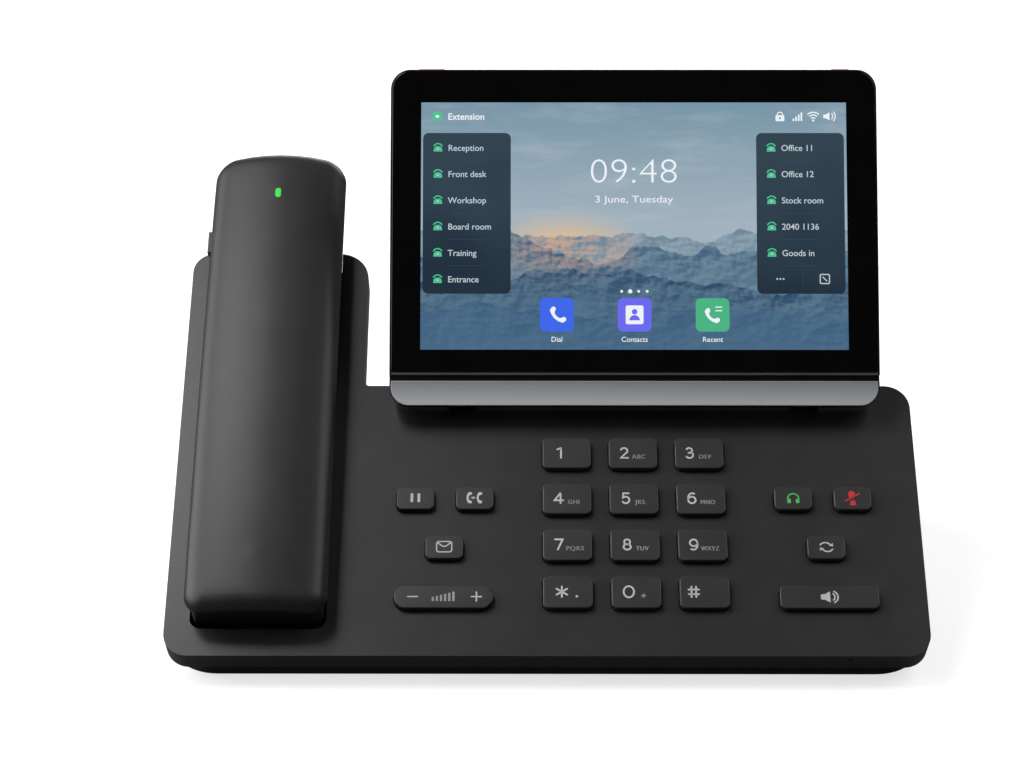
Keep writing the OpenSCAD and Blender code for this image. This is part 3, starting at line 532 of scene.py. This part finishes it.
def word(
    mesh, place, text, height, x, y, low, high, weight=0.0, align="CENTER", width=None, spacing=1.0
):
    """Letters of a given height, as closed forms on a plane."""
    curve = bpy.data.curves.new("word", "FONT")
    curve.body = text
    curve.align_x = align
    curve.offset = weight
    curve.space_character = spacing
    curve.extrude = 0.5  # one unit thick, from -0.5 to 0.5
    curve.resolution_u = 4
    holder = bpy.data.objects.new("word", curve)
    scene.collection.objects.link(holder)
    bpy.context.view_layer.update()
    solid = holder.to_mesh()
    points = np.array([v.co for v in solid.vertices])
    scale = height / CAPITAL
    squeeze = 1.0
    if width:
        squeeze = width / ((points[:, 0].max() - points[:, 0].min()) * scale)
    made = []
    for p in points:
        across = x + p[0] * scale * squeeze
        up = y + (p[1] - CAPITAL / 2) * scale
        made.append(mesh.verts.new(place.at(across, up, low + (p[2] + 0.5) * (high - low))))
    for face in solid.polygons:
        mesh.faces.new([made[i] for i in face.vertices])
    bmesh.ops.remove_doubles(mesh, verts=made, dist=SAME_POINT)
    holder.to_mesh_clear()
    bpy.data.objects.remove(holder)
    bpy.data.curves.remove(curve)


class Print:
    """Shapes of one colour that ride on one body."""

    def __init__(self, name, place, material, body, slot, low=-0.02, high=0.035):
        self.name, self.place, self.material = name, place, material
        self.body, self.slot = body, slot
        self.low, self.high = low, high
        self.mesh = bmesh.new()

    def shape(self, *loops):
        prism(self.mesh, self.place, loops, self.low, self.high)
        return self

    def stroke(self, points, width):
        return self.shape(ribbon(points, width))

    def text(self, text, height, x, y, **settings):
        word(self.mesh, self.place, text, height, x, y, self.low, self.high, **settings)
        return self

    def done(self):
        bmesh.ops.recalc_face_normals(self.mesh, faces=self.mesh.faces)
        data = bpy.data.meshes.new(self.name)
        self.mesh.to_mesh(data)
        self.mesh.free()
        data.materials.append(self.material)
        piece = bpy.data.objects.new(self.name, data)
        scene.collection.objects.link(piece)
        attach(piece, self.body)
        return piece


# --- legends on the keys ----------------------------------------------------
def key_print(node, colour, suffix="legend"):
    return Print(f"{node}_{suffix}", on_top(panel, node), ink[colour], body_of[node], "key_cap")


# Width of the large signs' strokes
STROKE = 0.64
# Strokes of the large signs, about each sign's middle
signs_of = {
    "1": [[(-0.95, 1.4), (-0.1, 1.85), (0.35, 1.98)], [(0.35, 1.98), (0.35, -2.0)]],
    "2": [arc(0, 0.85, 1.18, 160, -25, 12) + [(-1.2, -1.98), (1.35, -1.98)]],
    "3": [
        arc(-0.1, 1.0, 1.05, 150, -70, 12) + [(-0.35, 0.08)],
        arc(-0.05, -0.78, 1.28, 75, -150, 14),
    ],
    "4": [[(0.5, 2.0), (-1.5, -0.85), (1.55, -0.85)], [(0.6, 1.9), (0.6, -2.0)]],
    "5": [[(1.1, 1.98), (-0.85, 1.98), (-1.02, 0.2)] + arc(-0.05, -0.68, 1.3, 112, -148, 14)],
    "6": [arc(0.2, 0.1, 1.5, 62, 180, 10, 1.27) + [(-1.29, -0.6)]],
    "7": [[(-1.35, 1.98), (1.3, 1.98), (-0.4, -2.0)]],
    "8": [],
    "9": [arc(-0.2, -0.1, 1.5, 242, 360, 10, 1.27) + [(1.29, 0.6)]],
    "0": [],
    "#": [
        [(-0.8, -2.0), (-0.8, 2.0)],
        [(0.8, -2.0), (0.8, 2.0)],
        [(-1.8, 0.88), (1.8, 0.88)],
        [(-1.8, -0.88), (1.8, -0.88)],
    ],
    "*": [[(0, -2.0), (0, 2.0)], [(-1.85, -1.15), (1.85, 1.15)], [(-1.85, 1.15), (1.85, -1.15)]],
}
# Ovals of the signs that have them: middle, radius across, height to width
ovals_of = {
    "0": [(0, 0, 1.78, 1.2)],
    "6": [(0, -0.68, 1.3, 1.0)],
    "8": [(0, 1.0, 1.02, 0.98), (0, -0.92, 1.26, 0.86)],
    "9": [(0, 0.68, 1.3, 1.0)],
}
# Each dial key: its sign and where it stands, then its letters, where and how wide
dial = {
    "key_1": ("1", -2.35, "", 0, 0),
    "key_2": ("2", -3.1, "ABC", 2.1, 4.7),
    "key_3": ("3", -3.4, "DEF", 2.1, 4.3),
    "key_4": ("4", -2.9, "GHI", 2.35, 3.9),
    "key_5": ("5", -2.9, "JKL", 2.35, 3.9),
    "key_6": ("6", -3.2, "MNO", 2.35, 5.0),
    "key_7": ("7", -3.0, "PQRS", 2.6, 6.1),
    "key_8": ("8", -2.8, "TUV", 2.45, 4.4),
    "key_9": ("9", -3.2, "WXYZ", 2.5, 6.3),
    "key_star": ("*", -2.1, "", 0, 0),
    "key_0": ("0", -2.6, "", 0, 0),
    "key_hash": ("#", -3.8, "", 0, 0),
}
# Height of the small letters, and their middle below the key's
LETTER_HEIGHT, LETTER_LINE = 1.75, -1.42
# The small letters are printed twice, this far to each side, so that they are bold
BOLD = 0.065
for node, (sign, x, letters, at, wide) in dial.items():
    print_on = key_print(node, "digit")
    for line in signs_of[sign]:
        print_on.stroke([(x + a, b) for a, b in line], STROKE)
    for a, b, radius, tall in ovals_of.get(sign, ()):
        print_on.shape(*ring(x + a, b, radius, tall, STROKE))
    print_on.done()
    if letters:
        small = key_print(node, "letter", "letters")
        for shift in (-BOLD, BOLD):
            small.text(letters, LETTER_HEIGHT, at + shift, LETTER_LINE, width=wide, spacing=1.12)
        small.done()
key_print("key_star", "digit", "point").shape(disc(3.05, -1.75, 0.45)).done()
plus = key_print("key_0", "letter", "plus")
plus.stroke([(1.85, -1.5), (3.15, -1.5)], 0.45).stroke([(2.5, -2.1), (2.5, -0.9)], 0.45).done()

hold = key_print("key_hold", "digit")
for x in (-1.25, 1.2):
    hold.shape(rounded_box(x, 0, 0.98, 3.6, 0.35))
hold.done()


def receiver(x, y, size, turn=0.0):
    """A telephone handset: a bowed grip with two thick ends."""
    half = [(0.45, 1.72), (-0.05, 1.6), (-0.48, 0.95)]
    bow = half + [(-0.66, 0.0)] + [(a, -b) for a, b in half[::-1]]
    widths = [1.1, 1.1, 0.76, 0.7, 0.76, 1.1, 1.1]
    c, s = math.cos(turn), math.sin(turn)
    placed = [(x + size * (a * c - b * s), y + size * (a * s + b * c)) for a, b in bow]
    return ribbon(placed, [w * size for w in widths])


def speaker_sign(x, y, size):
    """A loudspeaker's outline, pointing right, its mouth at x."""
    horn = [(-0.85, -0.47), (0, -0.98), (0, 0.98), (-0.85, 0.47)]
    corners = [(-1.35, -0.47), *horn, (-1.35, 0.47), (-1.5, 0.3), (-1.5, -0.3)]
    return [(x + size * a, y + size * b) for a, b in corners]


transfer = key_print("key_transfer", "digit")
transfer.shape(receiver(-1.95, 0, 1.0)).shape(receiver(1.65, 0, 1.0))
transfer.stroke([(-1.35, 0), (-0.5, 0)], 0.3).shape([(-0.75, -0.6), (0.35, 0), (-0.75, 0.6)]).done()

envelope = key_print("key_message", "digit")
envelope.shape(rounded_box(0, 0, 5.75, 4.5, 1.1), rounded_box(0, 0, 4.85, 3.6, 0.7)[::-1])
flap = [(-2.3, 1.6), (-1.0, 0.5), (-0.35, 0.15)]
envelope.stroke(flap + [(-a, b) for a, b in flap[::-1]], 0.45).done()

volume = key_print("volume_rocker", "digit")
volume.stroke([(-12.3, 0), (-8.9, 0)], 0.5)
volume.stroke([(9.75, 0), (13.15, 0)], 0.5).stroke([(11.45, -1.7), (11.45, 1.7)], 0.55).done()
bars = key_print("volume_rocker", "letter", "bars")
for i in range(6):
    tall = 1.6 + 0.4 * i
    bars.shape(rounded_box(-3.6 + 1.42 * i, tall / 2 - 1.75, 0.78, tall, 0.2))
bars.done()

headset = key_print("key_headset", "green")
headset.stroke(arc(0, -0.25, 1.96, 188, -8, 24), 0.48)
for x in (-1.5, 1.5):
    headset.shape(rounded_box(x, -1.15, 1.3, 1.8, 0.45))
headset.done()

mute = key_print("key_mute", "red")
mute.shape(rounded_box(-0.3, 1.35, 2.3, 3.0, 1.1))
mute.shape([(-0.75, -1.0), (0.75, -1.0), (1.15, -2.6), (1.0, -2.9), (-1.0, -2.9), (-1.15, -2.6)])
mute.stroke([(-2.6, -1.15), (2.5, 1.85)], 0.45).done()

redial = key_print("key_redial", "digit")
redial_size = 0.88
for side in (redial_size, -redial_size):
    line = [(-2.45, 0.95), (-1.9, 1.5), (-1.1, 1.92), (-0.2, 2.02), (0.7, 1.75), (1.4, 1.25)]
    head = [(0.95, 0.6), (2.65, 0.25), (2.6, 1.7)]
    redial.stroke([(side * a, side * b) for a, b in line], 0.48)
    redial.shape([(side * a, side * b) for a, b in head])
redial.done()

loud = key_print("key_speaker", "digit")
loud.shape(speaker_sign(0.15, 0, 2.2)).stroke(arc(0.15, 0, 1.6, -52, 52, 10), 0.5)
loud.stroke(arc(0.55, 0, 2.3, -66, 66, 14), 0.5).done()

# --- the picture on the screen ----------------------------------------------
low, high = glass.span("screen_glass")
frame_low, frame_high = glass.span("screen_frame")
display_low, display_high = glass.span("display_panel")
# The display's dark border: left, right and below the picture, and above it
BORDER, TOP_BORDER = 5.8, 4.8
picture_w = display_high[0] - display_low[0] - 2 * BORDER
picture_foot = display_low[1] + BORDER
picture_h = display_high[1] - TOP_BORDER - picture_foot
left = display_low[0] + BORDER
# Origin at the picture's upper left corner, on the glass
ui = glass.moved(left, picture_foot + picture_h, high[2])


def landscape():
    """The wallpaper: hazy hills in rows before a low warm sun, drawn from noise
    on the picture's own coordinates."""
    material, tree = new_material("display_wallpaper")
    spot = add(tree, "TexCoord").outputs["UV"]
    parts = add(tree, "SeparateXYZ", {"Vector": spot})
    across, up = parts.outputs["X"], parts.outputs["Y"]

    # The sun's glow: 1 in its middle, 0 at the edge of an oval
    moved = add(tree, "VectorMath", {0: spot, 1: (0.335, 0.40, 0)}, operation="SUBTRACT")
    drawn = add(tree, "VectorMath", {0: moved.outputs[0], 1: (0.21, 0.17, 1)}, operation="DIVIDE")
    far = add(tree, "VectorMath", {0: drawn.outputs[0]}, operation="LENGTH").outputs["Value"]
    sun = add(tree, "MapRange", {"Value": far, "From Min": 1.0, "From Max": 0.0}).outputs[0]
    warm_air = add(tree, "Math", {0: sun, 1: 1.3}, operation="POWER").outputs[0]
    # Flat clouds, four times as wide as tall
    drawn = {"Vector": spot, "Location": (4.1, 0.3, 0), "Scale": (1.7, 4.0, 1)}
    puffs = add(
        tree,
        "TexNoise",
        {
            "Vector": add(tree, "Mapping", drawn).outputs["Vector"],
            "Scale": 3.0,
            "Detail": 6.0,
            "Roughness": 0.6,
        },
    ).outputs["Fac"]
    cloud = {"Value": puffs, "From Min": 0.48, "From Max": 0.75, "To Max": 0.3}
    sky = (
        (add(tree, "MapRange", {"Value": up, "From Min": 0.5}).outputs[0], "#7795a6"),
        (add(tree, "MapRange", cloud).outputs[0], "#c3ccd2"),
        (warm_air, "#f2c276"),
    )
    colour = hexed("#a2b2be")
    for share, over in sky:
        layer = {"Factor": share, 6: colour, 7: hexed(over)}
        colour = add(tree, "Mix", layer, data_type="RGBA").outputs[2]

    # Rows of hills from the farthest to the nearest:
    # height, swing, hills across, shift, lit side, shaded side, how much of the sun they take
    rows = (
        (0.47, 0.13, 3.4, 1.3, "#8fa3b1", "#6d8698", 0.75),
        (0.40, 0.20, 2.9, 7.1, "#6a869a", "#3f5f7b", 0.45),
        (0.29, 0.18, 2.3, 3.7, "#56758c", "#2b4765", 0.12),
        (0.15, 0.16, 1.9, 9.4, "#4c6d88", "#3b5c7c", 0.0),
    )
    for level, swing, hills, shift, bright, dark, warmth in rows:
        along = add(tree, "Math", {0: across, 1: hills, 2: shift}, operation="MULTIPLY_ADD")
        wave = add(
            tree,
            "TexNoise",
            {"W": along.outputs[0], "Scale": 1.0, "Detail": 7.0, "Roughness": 0.52},
            noise_dimensions="1D",
        ).outputs["Fac"]
        crest = add(
            tree, "Math", {0: wave, 1: 2 * swing, 2: level - swing}, operation="MULTIPLY_ADD"
        ).outputs[0]
        depth = add(tree, "Math", {0: crest, 1: up}, operation="SUBTRACT").outputs[0]
        # Relief: the same noise twice, a little apart, gives lit and shaded sides
        ground = []
        for x, y in ((shift, shift), (shift + 0.012, shift - 0.016)):
            moved = add(
                tree, "Mapping", {"Vector": spot, "Location": (x, y, 0), "Scale": (1.7, 1.5, 1)}
            ).outputs["Vector"]
            rough_land = {"Vector": moved, "Scale": 7.0, "Detail": 9.0, "Roughness": 0.62}
            ground.append(add(tree, "TexNoise", rough_land).outputs["Fac"])
        fall = add(tree, "Math", dict(enumerate(ground)), operation="SUBTRACT").outputs[0]
        relief = add(
            tree, "MapRange", {"Value": fall, "From Min": -0.07, "From Max": 0.07}
        ).outputs[0]
        haze = add(tree, "MapRange", {"Value": depth, "From Max": 0.2, "To Max": 0.75}).outputs[0]
        taken = add(tree, "Math", {0: sun, 1: warmth}, operation="MULTIPLY").outputs[0]
        sunlit = add(tree, "Math", {0: taken, 1: relief}, operation="MULTIPLY").outputs[0]
        hill = hexed(dark)
        for share, over in ((relief, bright), (haze, bright), (sunlit, "#e8a766")):
            layer = {"Factor": share, 6: hill, 7: hexed(over)}
            hill = add(tree, "Mix", layer, data_type="RGBA").outputs[2]
        inside = add(tree, "MapRange", {"Value": depth, "From Max": 0.004}).outputs[0]
        colour = add(
            tree, "Mix", {"Factor": inside, 6: colour, 7: hill}, data_type="RGBA"
        ).outputs[2]
    return behind_glass(material, colour)


# Painted highlight: a thin lighter satin strip on the frame's lower edge, between the glass and the groove,
# where the edge catches the light
painted_edge_highlight = plastic("painted_highlight_abs", "#4c4d4f", "#545557", 0.35, 0.5)
front = frame_high[2]
foot_painted_highlight = Print(
    "screen_foot_painted_highlight", glass, painted_edge_highlight, "screen", "screen_body", front - 0.1, front + 0.04
)
frame_middle = (frame_low[0] + frame_high[0]) / 2
highlight_w = frame_high[0] - frame_low[0] - 1.4
foot_painted_highlight.shape(rounded_box(frame_middle, low[1] - 0.5, highlight_w, 0.8, 0.2)).done()


def lit_print(name, material, low, high):
    return Print(name, ui, material, "screen", "display", low, high)


wallpaper = lit_print("display_wallpaper", landscape(), -0.05, 0.02)
wallpaper.shape([(0, -picture_h), (picture_w, -picture_h), (picture_w, 0), (0, 0)])
backdrop = wallpaper.done()
layer = backdrop.data.uv_layers.new(name="picture")
for corner in backdrop.data.loops:
    point = backdrop.data.vertices[corner.vertex_index].co - ui.origin
    layer.data[corner.index].uv = (
        point.dot(glass.x) / MM / picture_w,
        1 + point.dot(glass.y) / MM / picture_h,
    )

# Heights above the glass, in millimetres: each layer of the picture lies on the one below
PANEL_LOW, PANEL_HIGH, MARK_HIGH, TOP_HIGH = 0.02, 0.035, 0.05, 0.065


def list_panel():
    """A dark list panel, shaded as if the wallpaper showed through it: deeper towards
    its foot."""
    material, tree = new_material("screen_list_panel")
    spot = add(tree, "TexCoord")
    height = add(tree, "SeparateXYZ", {"Vector": spot.outputs["Generated"]}).outputs["Z"]
    shadow = add(
        tree,
        "TexNoise",
        {"Vector": spot.outputs["Object"], "Scale": 1 / (24 * MM), "Detail": 1.0},
    ).outputs["Fac"]
    lightness = add(tree, "Math", {0: height, 1: shadow}, operation="ADD").outputs[0]
    share = add(tree, "MapRange", {"Value": lightness, "From Min": 0.5, "From Max": 1.3})
    shades = {"Factor": share.outputs["Result"], 6: hexed("#22303f"), 7: hexed("#32434f")}
    return behind_glass(material, add(tree, "Mix", shades, data_type="RGBA").outputs[2])


panel_shade = list_panel()
# Upper and lower edge of the two lists, and where each begins
TOP, FOOT_Y = -11.2, -69.8
sides = {"left": 0.7, "right": picture_w - 32.6}
panel_w = 31.7
for side, x in sides.items():
    sheet = lit_print(f"screen_list_{side}", panel_shade, PANEL_LOW, PANEL_HIGH)
    sheet.shape(rounded_box(x + panel_w / 2, (TOP + FOOT_Y) / 2, panel_w, TOP - FOOT_Y, 2.0)).done()

# Height of a row, the middle of the first one, and how many rows stand above the last
ROW, FIRST, ABOVE_LAST = 9.58, -16.5, 5
numbers = {
    "left": ("Reception", "Front desk", "Workshop", "Board room", "Training", "Entrance"),
    "right": ("Office 11", "Office 12", "Stock room", "2040 1136", "Goods in"),
}
icons = lit_print("screen_line_icons", light_ui["call_green"], PANEL_HIGH, MARK_HIGH)
labels = lit_print("screen_line_labels", light_ui["pale"], PANEL_HIGH, MARK_HIGH)
rules = lit_print("screen_list_rules", light_ui["faint"], PANEL_HIGH, MARK_HIGH)
for side, x in sides.items():
    for i, label in enumerate(numbers[side]):
        y = FIRST - ROW * i
        desk_phone = [(3.8, -1.5), (7.0, -1.5), (6.8, -0.2), (6.1, 0.45), (4.7, 0.45), (4.0, -0.2)]
        icons.shape([(x + a, y + b) for a, b in desk_phone], disc(x + 5.4, y - 0.5, 0.5)[::-1])
        icons.stroke(arc(x + 5.4, y - 0.3, 1.7, 150, 30, 10), 0.45)
        labels.shape(disc(x + 5.4, y - 0.5, 0.42))
        labels.text(label, 2.3, x + 9.0, y - 0.1, align="LEFT", weight=0.008)
        if i < ABOVE_LAST:
            rules.shape(rounded_box(x + 16, y - ROW / 2, 13, 0.14, 0.06))
icons.done()
more = sides["right"]
y = FIRST - ROW * ABOVE_LAST
for i in range(3):
    labels.shape(disc(more + 7.2 + 1.15 * i, y, 0.34))
frame_sign = [rounded_box(more + 24.3, y, w, w, r) for w, r in ((3.7, 0.6), (2.9, 0.3))]
labels.shape(frame_sign[0], frame_sign[1][::-1])
labels.stroke([(more + 23.6, y + 0.7), (more + 25.0, y - 0.7)], 0.4)
labels.done()
rules.shape(rounded_box(more + 16.4, y, 0.14, 6.5, 0.06)).done()

# Clock, date and page dots
clock = lit_print("screen_clock", light_ui["white"], PANEL_LOW, MARK_HIGH)
clock.text("09:48", 9.5, picture_w / 2, -24.8, weight=-0.02, width=31.0).done()
date = lit_print("screen_date", light_ui["white"], PANEL_LOW, MARK_HIGH)
date.text("3 June, Tuesday", 2.6, picture_w / 2, -35.3, width=28.0)
for i, radius in enumerate((0.5, 0.75, 0.5, 0.5)):
    date.shape(disc(72.3 + 3.05 * i, -68.9, radius))
date.done()

# Status line
STATUS_Y = -5.1
chip = lit_print("screen_status_chip", light_ui["call_green"], PANEL_LOW, MARK_HIGH)
chip.shape(rounded_box(5.8, STATUS_Y, 3.3, 3.1, 0.4)).done()
status = lit_print("screen_status_marks", light_ui["white"], MARK_HIGH, TOP_HIGH)
status.shape(rounded_box(5.8, STATUS_Y, 1.3, 0.9, 0.3))
status.text("Extension", 2.45, 9.6, STATUS_Y, align="LEFT", weight=0.016)
status.shape(rounded_box(129.7, -5.75, 3.2, 2.2, 0.35), disc(129.7, -5.75, 0.4, 10)[::-1])
status.stroke(arc(129.7, -4.5, 0.95, 0, 180, 10), 0.38)
for i in range(4):
    tall = 0.9 + 0.75 * i
    status.shape(rounded_box(134.6 + 0.95 * i, -6.8 + tall / 2, 0.6, tall, 0.1))
for radius in (1.0, 2.0, 3.0):
    status.stroke(arc(141.7, -6.6, radius, 50, 130, 8), 0.42)
status.shape(disc(141.7, -6.6, 0.4))
status.shape(speaker_sign(147.6, STATUS_Y, 1.5))
for radius in (1.4, 2.3):
    status.stroke(arc(147.4, STATUS_Y, radius, -45, 45, 8), 0.36)
status.done()

# Three application buttons
BUTTON_Y = -77.4
apps = (("blue", 49.0, "Dial"), ("violet", 76.9, "Contacts"), ("green", 104.9, "Recent"))
for colour, x, label in apps:
    tile = lit_print(f"screen_button_{label.lower()}", light_ui[colour], PANEL_LOW, MARK_HIGH)
    tile.shape(rounded_box(x, BUTTON_Y, 12.1, 12.1, 1.9)).done()
signs = lit_print("screen_button_signs", light_ui["white"], MARK_HIGH, TOP_HIGH)
turned = math.radians(45)
signs.shape(receiver(49.2, -77.6, 1.55, turned))
book_x = apps[1][1]
signs.shape(rounded_box(book_x, BUTTON_Y, 6.4, 6.8, 0.7))
signs.shape(receiver(104.6, -77.9, 1.45, turned))
for y in (-74.6, -75.9):
    signs.stroke([(106.0, y), (108.2, y)], 0.4)
for colour, x, label in apps:
    signs.text(label, 1.9, x, -86.2, weight=0.004)
signs.done()
person = lit_print("screen_book_mark", light_ui["violet"], TOP_HIGH, TOP_HIGH + 0.015)
person.shape(disc(book_x, -76.3, 1.0)).shape(arc(book_x, -79.4, 1.9, 0, 180, 12)).done()


# --- floor, light and camera ------------------------------------------------
def paper_sweep():
    """Pale grey paper sweep: matt, and lit to white where the camera sees it directly."""
    material, tree = new_material("pale_paper_sweep")
    rays = add(tree, "LightPath")
    # How much of the white shows in shiny surfaces, which else would turn pale grey
    mirror_share = 0.05
    mirrored = {0: rays.outputs["Is Glossy Ray"], 1: mirror_share}
    seen = rays.outputs["Is Camera Ray"]
    others = (
        rays.outputs["Is Transmission Ray"],
        add(tree, "Math", mirrored, operation="MULTIPLY").outputs[0],
    )
    for other in others:
        seen = add(tree, "Math", {0: seen, 1: other}, operation="MAXIMUM").outputs[0]
    grey = add(tree, "BsdfDiffuse", {"Color": hexed("#545456")})
    white = add(tree, "BsdfDiffuse", {"Color": hexed("#c8c8c9")})
    # The sweep stays white out to its far edge, where the lamps fade
    spot = add(tree, "TexCoord").outputs["Object"]
    away = add(tree, "VectorMath", {0: spot}, operation="LENGTH").outputs["Value"]
    rise = {"Value": away, "From Min": 0.4, "From Max": 1.5, "To Min": 0.7, "To Max": 1.0}
    strength = add(tree, "MapRange", rise).outputs["Result"]
    glow = add(tree, "Emission", {"Color": (1, 1, 1, 1), "Strength": strength})
    lifted = add(tree, "AddShader", {0: white.outputs[0], 1: glow.outputs[0]})
    mixed = {0: seen, 1: grey.outputs[0], 2: lifted.outputs[0]}
    return close(material, add(tree, "MixShader", mixed))


# The floor's radius in metres, and its gap under the feet
FLOOR_RADIUS, FLOOR_GAP = 6.0, 0.05 * MM
bpy.ops.mesh.primitive_circle_add(
    vertices=96, radius=FLOOR_RADIUS, fill_type="NGON", location=(0, 0, -FLOOR_GAP)
)
floor = bpy.context.object
floor.name = "paper_floor"
floor.data.materials.append(paper_sweep())

# Softboxes that face the phone's middle: place and size in metres, power in watts
softboxes = {
    "overhead_left": ((-0.45, -0.03, 1.0), (0.45, 0.35), 4.4),
    "left_wall": ((-1.2, 0.02, 0.6), (1.3, 1.2), 20),
    "right_wall": ((0.95, 0.0, 1.05), (0.6, 1.0), 5),
    "back_wall": ((0.2, 1.3, 0.6), (1.2, 0.8), 9),
}
middle = Vector((0, 0, 0.06))
for name, (place, size, power) in softboxes.items():
    light = bpy.data.lights.new(name, "AREA")
    light.shape = "RECTANGLE"
    light.size, light.size_y = size
    light.energy = power
    lamp = bpy.data.objects.new(name, light)
    lamp.location = place
    lamp.rotation_euler = (middle - Vector(place)).to_track_quat("-Z", "Y").to_euler()
    lamp.visible_camera = False
    scene.collection.objects.link(lamp)

world = bpy.data.worlds.new("studio")
scene.world = world
world.use_nodes = True
sky_tree = world.node_tree
sky_tree.nodes.clear()
spot = add(sky_tree, "TexCoord").outputs["Generated"]
way = add(sky_tree, "SeparateXYZ", {"Vector": spot}).outputs["Y"]
# Dark room in front of the object, pale wall behind it
walls = {"Value": way, "From Min": -0.15, "From Max": 0.45, "To Min": 0.04, "To Max": 0.15}
room = add(sky_tree, "MapRange", walls).outputs["Result"]
rays = add(sky_tree, "LightPath")
direct = add(
    sky_tree,
    "Math",
    {0: rays.outputs["Is Camera Ray"], 1: rays.outputs["Is Transmission Ray"]},
    operation="MAXIMUM",
).outputs[0]
level = add(sky_tree, "Mix", {"Factor": direct, "A": room, "B": 1.0}).outputs["Result"]
ambient = add(sky_tree, "Background", {"Color": (1, 1, 1, 1), "Strength": level})
add(sky_tree, "OutputWorld", {"Surface": ambient.outputs[0]})

# The camera stands in front of the phone and above it: its place in millimetres from the
# middle of the key panel's front edge, and its angles in radians
camera_place = panel.at(-8.17, -340.93, 757.86)
elevation, heading, roll = 0.462122, -0.0051331, -0.00160995
look = Vector(
    (
        math.sin(heading) * math.cos(elevation),
        math.cos(heading) * math.cos(elevation),
        -math.sin(elevation),
    )
)
right = look.cross(Vector((0, 0, 1))).normalized()
above = right.cross(look)
right, above = (
    right * math.cos(roll) + above * math.sin(roll),
    above * math.cos(roll) - right * math.sin(roll),
)
lens = bpy.data.cameras.new("camera")
lens.lens = 85.0
lens.sensor_width = 36.0
lens.clip_start, lens.clip_end = 0.01, 50
camera = bpy.data.objects.new("camera", lens)
turn = Matrix((right, above, -look)).transposed()
camera.matrix_world = Matrix.Translation(camera_place) @ turn.to_4x4()
scene.collection.objects.link(camera)
scene.camera = camera
scene.view_settings.view_transform = "Standard"
